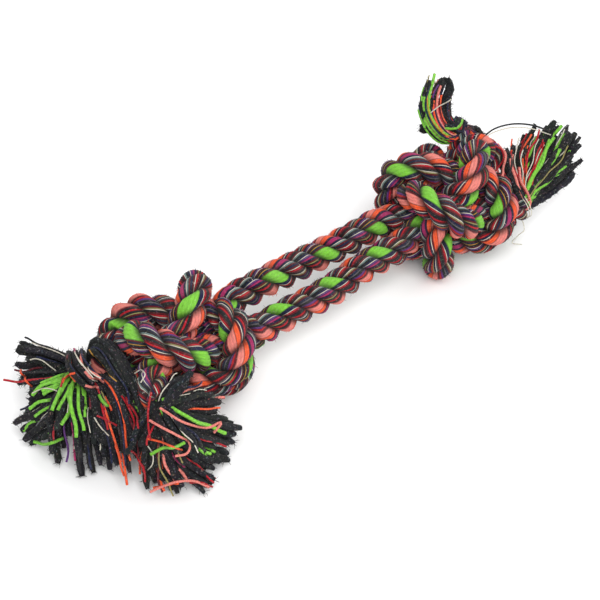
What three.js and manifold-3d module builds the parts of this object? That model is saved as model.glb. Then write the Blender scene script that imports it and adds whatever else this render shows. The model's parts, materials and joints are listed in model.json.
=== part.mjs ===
// Rope tug toy: two soft cotton ropes knotted together at both ends, each end frayed into a tassel.
// Millimetres, +Z up, X along the toy from the near knot to the far one. It lies on the plane z = 0.
import * as THREE from 'three';
import { mergeVertices } from 'three/addons/utils/BufferGeometryUtils.js';
import Module from 'manifold-3d';

const wasm = await Module();
wasm.setup();

// Driving dimensions
const ROPE_DIAMETER = 20;
const KNOT_SPACING = 216;        // centre of one knot to centre of the other
const NEAR_BRIDGE_GAP = 6;       // daylight between the two ropes of the bridge, beside each knot
const FAR_BRIDGE_GAP = 1.2;
const PIECE_GAP = 0.3;           // between two ends that meet
const TASSEL_RIM = 1.2;          // from the edge of a tassel's backing to the middle of its outermost yarn
const BACKING_THICKNESS = 4;     // slice of whole rope that a tassel's yarns grow from

// The rope is drawn tight in a knot, and tighter where it runs through the middle
const KNOT_UNIT_SHARE = 0.88;    // the unit that a knot's own lengths are counted in, of the rope's diameter
const KNOT_SQUEEZE_SHARE = 0.8;
const CORE_SQUEEZE_SHARE = 0.5;
const FLAT_DEPTH_SHARE = 0.1;    // of the rope's diameter, flattened where it rests

// Where the tightening begins and over what length it grows, in knot units from the knot's centre
const BALL_START_SHARE = -3.4;
const BALL_EASE_SHARE = 1.2;
const CORE_RADIUS_SHARE = 0.75;
const CORE_RADIUS_EASE_SHARE = 0.25;
const CORE_START_SHARE = -2.7;
const CORE_START_EASE_SHARE = 0.9;
const CORE_END_SHARE = 2.1;
const CORE_END_EASE_SHARE = 0.5;

const NEIGHBOUR_SHARE = 1.3;     // rope nearer than this along its own length isn't measured as a gap
const YARN_FILL_SHARE = 0.5;    // how far the yarns fill a tassel's section

// Meshing counts
const WINDING_SIDES = 6;
const WINDING_STEPS = 70;
const BRIDGE_SIDES = 8;
const BRIDGE_STEPS = 10;
const BACKING_SIDES = 12;
const YARNS_PER_TASSEL = 75;
const YARN_SIDES = 3;
const MAT_POINTS = 27;
const MEASURING_STEPS = 4;       // finer steps in one step of a winding, on which gaps are measured
const GOLDEN_ANGLE = Math.PI * (3 - Math.sqrt(5));

const D = ROPE_DIAMETER;
const UNIT = KNOT_UNIT_SHARE * D;
const DEG = Math.PI / 180;

// The knot is a woven mat of three leads and four bights, wrapped into a ball. Lengths are in knot units, and
// the height runs from the bridge side of the knot to its tassel side.
const MAT_RADIUS_SHARE = 1.49;
const MAT_WEAVE_SHARE = 0.485;   // rise and fall over and under the crossings
const MAT_HEIGHT_SHARE = 1.5;
const MAT_FLATTEN_SHARE = -0.065;
const MAT_SWAY = 0.21;           // radians that a crossing is carried sideways
const MAT_START = 157 * DEG;
const MAT_END = 644 * DEG;

// From the bridge in through the core and over the crown: radius, degrees round the axis, height
const CORE_LEAD_SHARE = [
  [0.33, 91, -1.1],
  [0.34, 110, 0],
  [0.35, 132, 1.1],
  [0.5, 142, 1.9],
  [0.95, 148, 2.45],
  [1.5, 152, 2.1],
];
const TAIL_START_SHARE = [1.5, 651, 2.0];
const ENTRY_HEIGHT_SHARE = -3.9; // where the winding meets the free rope of the bridge
const THROAT_HEIGHT_SHARE = -2.65;
const STRAIGHT_SHARES = [0, 0.5, 1]; // the straight run at each end of a winding
const TAIL_RUN_SHARE = 0.8;      // its length at the tail, in rope diameters: the drawn rope's own diameter
const NECK_HEIGHT_SHARE = -1.9;
const NECK_RADIUS_SHARE = 0.4;
const CORE_ANGLE = 91;

const KNOTS = {
  near: { direction: -1, hand: -1, turn: 122, entryAngle: 168, bridgeGap: NEAR_BRIDGE_GAP },
  far: { direction: 1, hand: 1, turn: 13, entryAngle: 97, bridgeGap: FAR_BRIDGE_GAP },
};

// Which way the straight end of each rope runs
const TAILS_TOWARDS_SHARE = {
  near_right: [-0.28, -0.95, -0.12],
  near_left: [-0.93, 0.34, -0.12],
  far_upper: [0.1, 0.4, 0.9],
  far_right: [0.99, -0.09, 0.14],
};

// A tassel bends from the rope's end towards its tip. Lengths in rope diameters: the lead that it keeps
// straight, its tip from the knot's centre, and half its width and depth there. Its wide side points across,
// and its section follows the bend by a share that keeps the yarns from crossing.
const TASSELS_SHARE = {
  near_right: {
    leadShare: 0.75,
    tipShares: [-1.8, -3.55, -1.35],
    widthShare: 1.35,
    depthShare: 0.62,
    across: [1, -0.33, 0.3],
    followShare: 0.8,
    stepCount: 2,
  },
  near_left: {
    leadShare: 1.1,
    tipShares: [-4.75, 0.3, -0.85],
    widthShare: 2.55,
    depthShare: 0.95,
    across: [0.1, 1, -0.1],
    followShare: 0,
    stepCount: 2,
  },
  far_upper: {
    leadShare: 0.8,
    tipShares: [1.75, 2.75, 3.0],
    widthShare: 0.62,
    depthShare: 0.5,
    across: [0.3, 1, 0],
    followShare: 0.3,
    stepCount: 1,
  },
  far_right: {
    leadShare: 0.7,
    tipShares: [5.05, 0.1, 0.5],
    widthShare: 1.45,
    depthShare: 0.62,
    across: [0, 1, 0],
    followShare: 0.2,
    stepCount: 2,
  },
};

// The free ropes between the knots, square to the windings at both ends: share of the way along the toy,
// share of the way across it, then bow outwards and sag, both in rope diameters
const BRIDGE_SHARE = [
  [0, 0, 0, 0],
  [0.12, 0, 0, 0],
  [0.3, 0.2, 0.03, 0.05],
  [0.5, 0.5, 0.06, 0.08],
  [0.7, 0.8, 0.03, 0.05],
  [0.88, 1, 0, 0],
  [1, 1, 0, 0],
];

const COTTON = {
  rope_a: new THREE.MeshStandardMaterial({ color: 0xc46a5e, roughness: 0.95, metalness: 0 }),
  rope_b: new THREE.MeshStandardMaterial({ color: 0x7fb84e, roughness: 0.95, metalness: 0 }),
  core: new THREE.MeshStandardMaterial({ color: 0x2b2d31, roughness: 1, metalness: 0 }),
};

const clamp01 = (x) => Math.min(1, Math.max(0, x));
const vec = (list, scale = 1) => new THREE.Vector3(...list).multiplyScalar(scale);

// Radius, angle and height round the knot's own axis to a point in the toy's frame, from the knot's centre
function knotPoint(knot, half, radius, angle, height) {
  const turned = angle + (knot.turn + 180 * half) * DEG;
  return new THREE.Vector3(
    knot.direction * height * UNIT,
    knot.hand * radius * UNIT * Math.sin(turned),
    -knot.direction * radius * UNIT * Math.cos(turned),
  );
}

// One lead of the woven mat at parameter t
function matPoint(knot, half, t) {
  const wave = Math.sin((8 * t) / 3);
  const height = MAT_FLATTEN_SHARE * Math.cos(4 * t) - MAT_HEIGHT_SHARE * Math.cos((4 * t) / 3);
  return knotPoint(knot, half, MAT_RADIUS_SHARE + MAT_WEAVE_SHARE * wave, t + MAT_SWAY * wave, height);
}

// Half the spacing of the two ropes where they enter a knot, in knot units
const entryRadius = (knot) => (D + knot.bridgeGap) / 2 / UNIT;

// Points that one rope follows through a knot, from the bridge to the tassel, before they are smoothed
function windingPoints(knot, half, tail) {
  const entry = knot.entryAngle;
  const heights = [...STRAIGHT_SHARES.map((share) => ENTRY_HEIGHT_SHARE + share), THROAT_HEIGHT_SHARE];
  const points = heights.map((height) => knotPoint(knot, half, entryRadius(knot), entry * DEG, height));
  points.push(knotPoint(knot, half, NECK_RADIUS_SHARE, ((entry + CORE_ANGLE) / 2) * DEG, NECK_HEIGHT_SHARE));
  for (const [radius, degrees, height] of CORE_LEAD_SHARE) {
    points.push(knotPoint(knot, half, radius, degrees * DEG, height));
  }
  for (let i = 0; i < MAT_POINTS; i += 1) {
    points.push(matPoint(knot, half, MAT_START + ((MAT_END - MAT_START) * i) / (MAT_POINTS - 1)));
  }
  const [radius, degrees, height] = TAIL_START_SHARE;
  const from = knotPoint(knot, half, radius, degrees * DEG, height);
  const towards = vec(tail).normalize();
  for (const share of STRAIGHT_SHARES) {
    points.push(from.clone().addScaledVector(towards, share * TAIL_RUN_SHARE * D));
  }
  return points;
}

// The rope's radius at a point from the knot's centre: full in the bridge, less in the weave, least in the core
function windingRadius(knot, point) {
  const height = (knot.direction * point.x) / UNIT;
  const fromAxis = Math.hypot(point.y, point.z) / UNIT;
  const inBall = clamp01((height - BALL_START_SHARE) / BALL_EASE_SHARE);
  const inCore = clamp01((CORE_RADIUS_SHARE - fromAxis) / CORE_RADIUS_EASE_SHARE)
    * clamp01((height - CORE_START_SHARE) / CORE_START_EASE_SHARE)
    * clamp01((CORE_END_SHARE - height) / CORE_END_EASE_SHARE);
  const knotted = 1 - (1 - KNOT_SQUEEZE_SHARE) * inBall;
  return (D / 2) * (knotted - (KNOT_SQUEEZE_SHARE - CORE_SQUEEZE_SHARE) * inCore);
}

function smoothLine(points, steps) {
  const curve = new THREE.CatmullRomCurve3(points, false, 'catmullrom', 0.5);
  curve.arcLengthDivisions = steps * 12;
  return curve.getSpacedPoints(steps);
}

// A closed tube of changing radius round a line of points, its frames carried along without twist
function tube(line, radii, sides) {
  const positions = [];
  const indices = [];
  const tangents = line.map((p, i) => {
    const before = line[Math.max(0, i - 1)];
    const after = line[Math.min(line.length - 1, i + 1)];
    return new THREE.Vector3().subVectors(after, before).normalize();
  });
  const up = Math.abs(tangents[0].z) > 0.9 ? new THREE.Vector3(1, 0, 0) : new THREE.Vector3(0, 0, 1);
  let normal = up.clone().addScaledVector(tangents[0], -up.dot(tangents[0])).normalize();
  line.forEach((p, i) => {
    normal = normal.clone().addScaledVector(tangents[i], -normal.dot(tangents[i])).normalize();
    const side = new THREE.Vector3().crossVectors(tangents[i], normal);
    for (let k = 0; k < sides; k += 1) {
      const angle = (2 * Math.PI * (k + 0.5)) / sides;
      const q = p.clone().addScaledVector(normal, radii[i] * Math.cos(angle));
      q.addScaledVector(side, radii[i] * Math.sin(angle));
      positions.push(q.x, q.y, q.z);
    }
  });
  for (let i = 0; i + 1 < line.length; i += 1) {
    for (let k = 0; k < sides; k += 1) {
      const a = i * sides + k;
      const b = i * sides + ((k + 1) % sides);
      indices.push(a, b, b + sides, a, b + sides, a + sides);
    }
  }
  const last = (line.length - 1) * sides;
  for (let k = 1; k + 1 < sides; k += 1) {
    indices.push(0, k + 1, k, last, last + k, last + k + 1);
  }
  return { positions, indices };
}

function geometryOf({ positions, indices }) {
  const geometry = new THREE.BufferGeometry();
  geometry.setAttribute('position', new THREE.Float32BufferAttribute(positions, 3));
  geometry.setIndex(indices);
  geometry.computeVertexNormals();
  return geometry;
}

function solidOf(geometry) {
  let bare = geometry.clone();
  bare.deleteAttribute('normal');
  bare.deleteAttribute('uv');
  bare = mergeVertices(bare);
  return new wasm.Manifold(new wasm.Mesh({
    numProp: 3,
    vertProperties: new Float32Array(bare.attributes.position.array),
    triVerts: new Uint32Array(bare.index.array),
  }));
}

function geometryFromSolid(solid) {
  const mesh = solid.getMesh();
  const positions = [];
  for (let i = 0; i < mesh.vertProperties.length; i += mesh.numProp) {
    positions.push(mesh.vertProperties[i], mesh.vertProperties[i + 1], mesh.vertProperties[i + 2]);
  }
  return geometryOf({ positions, indices: Array.from(mesh.triVerts) });
}

// All that lies under the plane z = 0 is cut away, so that what rests there is flat
const underfloor = (() => {
  const size = 4 * KNOT_SPACING;
  const box = new THREE.BoxGeometry(size, size, size);
  box.translate(0, 0, -size / 2);
  return solidOf(box);
})();

// Least distance between two lines of points, less both radii; within one line, neighbours don't count
function leastGap(lineA, radiiA, lineB, radiiB) {
  const same = lineA === lineB;
  let least = Infinity;
  const along = [0];
  for (let i = 1; i < lineA.length; i += 1) {
    along.push(along[i - 1] + lineA[i].distanceTo(lineA[i - 1]));
  }
  lineA.forEach((p, i) => {
    lineB.forEach((q, j) => {
      if (same && Math.abs(along[i] - along[j]) < NEIGHBOUR_SHARE * UNIT) return;
      least = Math.min(least, p.distanceTo(q) - radiiA[i] - radiiB[j]);
    });
  });
  return least;
}

// One slice of whole rope with the yarns that grow out of it, as one closed surface. The yarns keep their
// places in a disc that widens into the fan, so none crosses another.
function tassel(end, direction, shape, centre) {
  const tip = vec(shape.tipShares, D).add(centre);
  const root = end.clone().addScaledVector(direction, BACKING_THICKNESS);
  const elbow = root.clone().addScaledVector(direction, shape.leadShare * D);
  const spine = new THREE.QuadraticBezierCurve3(root, elbow, tip);
  const outerRadius = (D * KNOT_SQUEEZE_SHARE) / 2;
  const rootRadius = outerRadius - TASSEL_RIM;
  const frameAt = (s) => {
    const along = direction.clone().lerp(spine.getTangent(s), shape.followShare).normalize();
    const across = vec(shape.across);
    across.addScaledVector(along, -across.dot(along)).normalize();
    return { origin: spine.getPoint(s), across, other: new THREE.Vector3().crossVectors(along, across) };
  };
  const at = (frame, x, y) => frame.origin.clone().addScaledVector(frame.across, x).addScaledVector(frame.other, y);
  const positions = [];
  const indices = [];
  const put = (p) => positions.push(p.x, p.y, p.z) / 3 - 1;
  const frames = [];
  for (let i = 0; i <= shape.stepCount; i += 1) frames.push(frameAt(i / shape.stepCount));
  const back = { ...frames[0], origin: end };
  const rim = [];
  for (let k = 0; k < BACKING_SIDES; k += 1) {
    const angle = (2 * Math.PI * k) / BACKING_SIDES;
    rim.push(new THREE.Vector2(outerRadius * Math.cos(angle), outerRadius * Math.sin(angle)));
  }
  const rimFront = rim.map((c) => put(at(frames[0], c.x, c.y)));
  const rimBack = rim.map((c) => put(at(back, c.x, c.y)));
  rim.forEach((c, k) => {
    const next = (k + 1) % BACKING_SIDES;
    indices.push(rimBack[k], rimBack[next], rimFront[next], rimBack[k], rimFront[next], rimFront[k]);
    if (k > 0 && k + 1 < BACKING_SIDES) indices.push(rimBack[0], rimBack[k + 1], rimBack[k]);
  });
  const holes = [];
  const front = [...rimFront];
  for (let n = 0; n < YARNS_PER_TASSEL; n += 1) {
    const u = Math.sqrt((n + 0.5) / YARNS_PER_TASSEL);
    const cx = u * Math.cos(n * GOLDEN_ANGLE);
    const cy = u * Math.sin(n * GOLDEN_ANGLE);
    let below = null;
    frames.forEach((frame, i) => {
      const s = i / shape.stepCount;
      const wide = rootRadius + (shape.widthShare * D - rootRadius) * s;
      const deep = rootRadius + (shape.depthShare * D - rootRadius) * s;
      const radius = (YARN_FILL_SHARE * Math.min(wide, deep)) / Math.sqrt(YARNS_PER_TASSEL);
      const corners = [];
      for (let k = 0; k < YARN_SIDES; k += 1) {
        const angle = (2 * Math.PI * k) / YARN_SIDES + n * GOLDEN_ANGLE;
        corners.push(new THREE.Vector2(wide * cx + radius * Math.cos(angle), deep * cy + radius * Math.sin(angle)));
      }
      const ring = corners.map((c) => put(at(frame, c.x, c.y)));
      if (i === 0) {
        holes.push(corners);
        front.push(...ring);
      } else {
        ring.forEach((index, k) => {
          const next = (k + 1) % YARN_SIDES;
          indices.push(below[k], below[next], ring[next], below[k], ring[next], index);
        });
      }
      below = ring;
    });
    indices.push(...below);
  }
  const flat = [...rim, ...holes.flat()];
  for (const [a, b, c] of THREE.ShapeUtils.triangulateShape(rim, holes)) {
    const turn = new THREE.Vector2().subVectors(flat[b], flat[a]).cross(new THREE.Vector2().subVectors(flat[c], flat[a]));
    indices.push(front[a], ...(turn > 0 ? [front[b], front[c]] : [front[c], front[b]]));
  }
  return geometryOf({ positions, indices });
}

const toy = new THREE.Group();
function addPiece(name, geometry, material) {
  const mesh = new THREE.Mesh(geometry, material);
  mesh.name = name;
  toy.add(mesh);
  return mesh;
}

// Each knot stands at the height at which its lowest lead is flattened by its share
function makeKnot(name, tailNames) {
  const knot = KNOTS[name];
  const steps = WINDING_STEPS * MEASURING_STEPS;
  const lines = tailNames.map((tail, half) => (
    smoothLine(windingPoints(knot, half, TAILS_TOWARDS_SHARE[tail]), steps)
  ));
  const radii = lines.map((line) => line.map((p) => windingRadius(knot, p)));
  let lowest = 0;
  lines.forEach((line, k) => line.forEach((p, i) => {
    lowest = Math.min(lowest, p.z - radii[k][i]);
  }));
  const centre = new THREE.Vector3((knot.direction * KNOT_SPACING) / 2, 0, -lowest - FLAT_DEPTH_SHARE * D);
  const selfGap = Math.min(...lines.map((line, k) => leastGap(line, radii[k], line, radii[k])));
  const ropeGap = leastGap(lines[0], radii[0], lines[1], radii[1]);
  console.log(`${name} knot: a rope keeps ${selfGap.toFixed(2)} mm from itself and ${ropeGap.toFixed(2)} mm from the other`);
  lines.forEach((line) => line.forEach((p) => p.add(centre)));
  return { knot, lines, radii, centre };
}

const near = makeKnot('near', ['near_right', 'near_left']);
const far = makeKnot('far', ['far_right', 'far_upper']);

function addWinding(name, { lines, radii }, k, material) {
  const coarse = (list) => list.filter((item, i) => i % MEASURING_STEPS === 0);
  const raw = tube(coarse(lines[k]), coarse(radii[k]), WINDING_SIDES);
  addPiece(name, geometryFromSolid(solidOf(geometryOf(raw)).subtract(underfloor)), material);
}

addWinding('near_knot_rope_a', near, 0, COTTON.rope_a);
addWinding('near_knot_rope_b', near, 1, COTTON.rope_b);
addWinding('far_knot_rope_a', far, 0, COTTON.rope_a);
addWinding('far_knot_rope_b', far, 1, COTTON.rope_b);

// A free rope of the bridge, from one winding's end to the other's
function addBridge(name, from, to, material) {
  const start = from.clone().add(new THREE.Vector3(PIECE_GAP, 0, 0));
  const end = to.clone().sub(new THREE.Vector3(PIECE_GAP, 0, 0));
  const outwards = Math.sign(start.y);
  const points = BRIDGE_SHARE.map(([along, across, bow, sag]) => {
    const p = start.clone().lerp(end, across);
    p.x = start.x + (end.x - start.x) * along;
    return p.add(new THREE.Vector3(0, outwards * bow * D, -sag * D));
  });
  const line = smoothLine(points, BRIDGE_STEPS);
  addPiece(name, geometryOf(tube(line, line.map(() => D / 2), BRIDGE_SIDES)), material);
}

addBridge('bridge_rope_a', near.lines[0][0], far.lines[0][0], COTTON.rope_a);
addBridge('bridge_rope_b', near.lines[1][0], far.lines[1][0], COTTON.rope_b);

// The tassels grow from the tails' ends, square to them
function addTassel(name, { lines, centre }, k) {
  const line = lines[k];
  const last = line[line.length - 1];
  const direction = last.clone().sub(line[line.length - 1 - MEASURING_STEPS]).normalize();
  const start = last.clone().addScaledVector(direction, PIECE_GAP);
  addPiece(`${name}_tassel`, tassel(start, direction, TASSELS_SHARE[name], centre), COTTON.core);
}

addTassel('near_right', near, 0);
addTassel('near_left', near, 1);
addTassel('far_right', far, 0);
addTassel('far_upper', far, 1);

// The origin is under the middle of the whole toy
const whole = new THREE.Box3().setFromObject(toy);
const middle = whole.getCenter(new THREE.Vector3());
toy.position.set(-middle.x, -middle.y, 0);
toy.updateMatrixWorld(true);

export default toy;
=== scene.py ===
"""A soft tug toy of two multicoloured cotton ropes, knotted at both ends and frayed into four tassels.

The file is laid out as an add-on and is run as a script. Every surface is a grid that numpy works out from a
formula: three laid strands carried along each rope, and bundles of loose yarns carried along each tassel.
Lengths are in metres, and the toy lies on the plane z = 0.
"""

import json
import math
from functools import partial

import bpy
import numpy as np
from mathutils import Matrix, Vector
from mathutils.bvhtree import BVHTree

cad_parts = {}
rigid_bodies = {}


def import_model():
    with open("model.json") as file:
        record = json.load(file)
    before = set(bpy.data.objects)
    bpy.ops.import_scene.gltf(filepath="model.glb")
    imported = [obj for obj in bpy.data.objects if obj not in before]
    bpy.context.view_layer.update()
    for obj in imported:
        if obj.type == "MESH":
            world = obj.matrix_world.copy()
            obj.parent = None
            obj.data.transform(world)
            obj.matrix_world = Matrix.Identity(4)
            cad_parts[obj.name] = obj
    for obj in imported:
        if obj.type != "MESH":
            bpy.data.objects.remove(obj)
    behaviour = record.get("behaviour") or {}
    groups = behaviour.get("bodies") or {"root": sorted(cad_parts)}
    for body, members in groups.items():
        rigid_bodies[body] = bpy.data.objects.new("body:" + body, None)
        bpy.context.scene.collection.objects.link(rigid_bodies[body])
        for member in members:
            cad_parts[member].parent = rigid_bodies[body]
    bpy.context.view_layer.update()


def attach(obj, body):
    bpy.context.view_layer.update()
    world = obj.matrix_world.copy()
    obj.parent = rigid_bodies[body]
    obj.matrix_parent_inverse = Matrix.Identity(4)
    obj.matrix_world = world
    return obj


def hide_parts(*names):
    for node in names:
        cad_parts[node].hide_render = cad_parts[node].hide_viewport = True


bl_info = {
    "name": "Rope tug toy",
    "version": (1, 0, 0),
    "blender": (4, 5, 0),
    "location": "3D View > Sidebar > Rope toy",
    "description": "Builds a knotted cotton rope toy with frayed tassels over its packed frame",
    "category": "Object",
}

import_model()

TURN = 2 * math.pi
DEGREE = math.pi / 180
GOLDEN = math.pi * (3 - math.sqrt(5))

# The route of both ropes, repeated from the CAD

ROPE = 0.020
UNIT = 0.88 * ROPE
PIECE_GAP = 0.0003

# A knot's tails leave along x by direction, its leads wind by hand, and turn and entry are the degrees
# round its axis at which its mat and the bridge's ropes start. The gap is between those two ropes.
KNOTS = {
    "near": {"direction": -1, "hand": -1, "turn": 122, "entry": 168, "gap": 0.006},
    "far": {"direction": 1, "hand": 1, "turn": 13, "entry": 97, "gap": 0.0012},
}
CENTRES = {
    "near": (-0.1034136, 0.0092818, 0.0400973),
    "far": (0.1125864, 0.0092818, 0.0399945),
}
# Places of a lead in knot units, as radius, degrees and height: up through the middle of the knot, and
# where its tail starts
CORE_LEAD = (
    (0.33, 91, -1.1),
    (0.34, 110, 0),
    (0.35, 132, 1.1),
    (0.5, 142, 1.9),
    (0.95, 148, 2.45),
    (1.5, 152, 2.1),
)
TAIL_START = (1.5, 651, 2.0)
TAIL_RUN = 0.8 * ROPE
THROAT_HEIGHTS = (-3.9, -3.4, -2.9, -2.65)
NECK_RADIUS = 0.4
NECK_HEIGHT = -1.9
# The woven mat in knot units: where it starts and ends in degrees and its number of points, how far out a
# lead runs, how far it rises and falls over and under the others, its sway in radians, and its height
MAT_ANGLES = (157, 644, 27)
MAT_RADIUS = 1.49
MAT_RISE = 0.485
MAT_SWAY = 0.21
MAT_HEIGHT = 1.5
MAT_RIPPLE = 0.065
# The bridge, as shares of the way along and across it, and how far it bows and sags in rope diameters
BRIDGE = (
    (0, 0, 0, 0),
    (0.12, 0, 0, 0),
    (0.3, 0.2, 0.03, 0.05),
    (0.5, 0.5, 0.06, 0.08),
    (0.7, 0.8, 0.03, 0.05),
    (0.88, 1, 0, 0),
    (1, 1, 0, 0),
)

# The step of the ropes' lines in metres, and the points on each stretch of a smooth curve
LINE_STEP = 0.0004
STRETCH_POINTS = 60

# Each rope runs from its near tail through the near knot, the bridge and the far knot to its far tail
ROUTES = {
    "a": {"half": 0, "near": (-0.28, -0.95, -0.12), "far": (0.99, -0.09, 0.14)},
    "b": {"half": 1, "near": (-0.93, 0.34, -0.12), "far": (0.1, 0.4, 0.9)},
}


def unit(vectors):
    """Vectors over their own lengths."""
    vectors = np.asarray(vectors, float)
    return vectors / np.linalg.norm(vectors, axis=-1, keepdims=True)


def knot_point(knot, half, radius, degrees, height):
    """A point of a knot, in knot units: radius and angle round the knot's axis, height along it."""
    turned = (np.asarray(degrees, float) + knot["turn"] + 180 * half) * DEGREE
    across = knot["hand"] * radius * np.sin(turned)
    up = -knot["direction"] * radius * np.cos(turned)
    return np.stack(np.broadcast_arrays(knot["direction"] * np.asarray(height, float), across, up), axis=-1)


def mat_points(knot, half):
    """A lead of the woven mat at t: radius + rise w, angle t + sway w, and height -ripple cos 4t - height
    cos 4t/3, where w = sin 8t/3 is its rise and fall over and under the other leads."""
    start, end, count = MAT_ANGLES
    t = np.linspace(start, end, count) * DEGREE
    wave = np.sin(8 * t / 3)
    height = -MAT_RIPPLE * np.cos(4 * t) - MAT_HEIGHT * np.cos(4 * t / 3)
    return knot_point(knot, half, MAT_RADIUS + MAT_RISE * wave, (t + MAT_SWAY * wave) / DEGREE, height)


def smooth_line(points, step):
    """A Catmull-Rom curve through the points, taken again at equal lengths of about one step."""
    points = np.asarray(points, float)
    padded = np.vstack([2 * points[0] - points[1], points, 2 * points[-1] - points[-2]])
    a, b, c, d = (padded[i : len(padded) - 3 + i, None] for i in range(4))
    t = np.linspace(0, 1, STRETCH_POINTS, endpoint=False)[None, :, None]
    dense = 0.5 * (2 * b + (c - a) * t + (2 * a - 5 * b + 4 * c - d) * t**2 + (3 * b - a - 3 * c + d) * t**3)
    return resampled(np.vstack([dense.reshape(-1, 3), points[-1]]), step)


def lengths_along(line):
    """The length of a line from its start to each of its points."""
    return np.r_[0, np.cumsum(np.linalg.norm(np.diff(line, axis=0), axis=1))]


def taken_at(shares, line, values=None):
    """A line, or values along it, at shares of its length."""
    along = lengths_along(line)
    values = line if values is None else values
    return np.stack([np.interp(shares * along[-1], along, values[:, k]) for k in range(3)], axis=-1)


def resampled(line, step):
    """The same line at equal lengths of about one step."""
    return taken_at(np.linspace(0, 1, max(2, round(lengths_along(line)[-1] / step)) + 1), line)


def winding_line(side, half, tail):
    """What one rope does in a knot, from the bridge to its tail's end, in metres."""
    knot = KNOTS[side]
    entry_radius = (ROPE + knot["gap"]) / 2 / UNIT
    throat = knot_point(knot, half, entry_radius, knot["entry"], THROAT_HEIGHTS)
    neck = knot_point(knot, half, NECK_RADIUS, (knot["entry"] + CORE_LEAD[0][1]) / 2, [NECK_HEIGHT])
    core = np.array([knot_point(knot, half, r, a, h) for r, a, h in CORE_LEAD])
    tail_start = knot_point(knot, half, *TAIL_START)
    tail_run = tail_start + unit(tail) * np.array([[0], [0.5], [1]]) * TAIL_RUN / UNIT
    points = np.vstack([throat, neck, core, mat_points(knot, half), tail_run])
    return smooth_line(points * UNIT + CENTRES[side], LINE_STEP)


def bridge_line(start, end):
    """A rope's free length between the knots: across by shares, bowed outwards and sagging a little."""
    share = np.array(BRIDGE)
    start = start + [PIECE_GAP, 0, 0]
    end = end - [PIECE_GAP, 0, 0]
    points = start + share[:, 1:2] * (end - start)
    points[:, 0] = start[0] + (end - start)[0] * share[:, 0]
    outwards = np.sign(start[1] - CENTRES["near"][1])
    points[:, 1] += outwards * share[:, 2] * ROPE
    points[:, 2] -= share[:, 3] * ROPE
    return smooth_line(points, LINE_STEP)


def whole_rope(name, step):
    """A rope's whole line at equal steps, and its four borders: the ends of its near winding, bridge and
    far winding."""
    route = ROUTES[name]
    near = winding_line("near", route["half"], route["near"])
    far = winding_line("far", route["half"], route["far"])
    bridge = bridge_line(near[0], far[0])
    line = np.vstack([near[::-1], bridge, far])
    borders = np.cumsum([lengths_along(part)[-1] for part in (near, bridge, far)])
    line = resampled(line, step)
    last = len(line) - 1
    marks = [0, *np.round(borders[:2] / lengths_along(line)[-1] * last).astype(int), last]
    return line, marks


def carried_frames(lines):
    """Tangents, normals and sides along lines, carried without twist. Any normal is taken at each point,
    the angle that it turns by beyond the least turn from one tangent to the next is summed, and it is
    turned back by that sum."""
    lines = np.asarray(lines, float)
    tangent = unit(np.gradient(lines, axis=-2))
    axis = np.eye(3)[np.argmin(np.abs(tangent), axis=-1)]
    normal = unit(np.cross(tangent, axis))
    here, following = tangent[..., :-1, :], tangent[..., 1:, :]
    dot = (here * following).sum(-1, keepdims=True)
    kept = normal[..., :-1, :]
    kept = kept - (kept * following).sum(-1, keepdims=True) / (1 + dot) * (here + following)
    taken = normal[..., 1:, :]
    extra = np.arctan2((np.cross(kept, taken) * following).sum(-1), (kept * taken).sum(-1))
    back = np.concatenate([np.zeros(extra.shape[:-1] + (1,)), np.cumsum(extra, axis=-1)], axis=-1)
    back = -back[..., None]
    side = np.cross(tangent, normal)
    carried = normal * np.cos(back) + side * np.sin(back)
    return tangent, carried, np.cross(tangent, carried)


# The waves in soft noise for each unit of its run, and how far apart its seeds set their phases
WAVES = (0.7, 1.3, 2.9)
PHASE_SPREAD = 3.77


def ripple(at, seeds):
    """Soft noise between -1 and 1: three sines of at, each with its own phase from the seeds."""
    at = np.asarray(at, float)
    sines = (np.sin(TURN * (w * at + (i + 1) * seeds * PHASE_SPREAD)) for i, w in enumerate(WAVES))
    return sum(sines) / len(WAVES)


def eased(share):
    """A share that starts and ends gently: share squared x (3 - 2 share)."""
    return share * share * (3 - 2 * share)


# Colours of the yarns


def tint(red, green, blue):
    """A colour of 0 to 255 as the linear numbers that shaders use."""
    shown = np.array([red, green, blue]) / 255
    linear = np.where(shown <= 0.04045, shown / 12.92, ((shown + 0.055) / 1.055) ** 2.4)
    return tuple(float(x) for x in linear)


YARNS = {
    "lime": ("Lime green cotton, the widest band of a strand", (116, 186, 58)),
    "salmon": ("Salmon pink cotton, most of the other wide band", (216, 122, 112)),
    "orange": ("Orange red cotton beside the salmon", (226, 84, 44)),
    "red": ("Crimson cotton", (170, 20, 34)),
    "maroon": ("Dark red cotton", (88, 16, 28)),
    "magenta": ("Magenta cotton", (155, 38, 90)),
    "purple": ("Purple cotton", (86, 42, 108)),
    "navy": ("Navy blue cotton", (18, 24, 56)),
    "charcoal": ("Charcoal cotton, as in the core", (24, 26, 30)),
    "cream": ("Cream cotton", (212, 206, 190)),
    "khaki": ("Khaki cotton", (142, 132, 80)),
    "gold": ("Gold cotton", (184, 136, 48)),
    "teal": ("Grey teal cotton", (106, 130, 128)),
    "grey": ("Mid grey cotton", (84, 82, 88)),
}
SHORT = {
    "L": "lime", "S": "salmon", "O": "orange", "R": "red", "D": "maroon", "M": "magenta", "P": "purple",
    "N": "navy", "C": "charcoal", "W": "cream", "K": "khaki", "G": "gold", "T": "teal", "Y": "grey",
}
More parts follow.
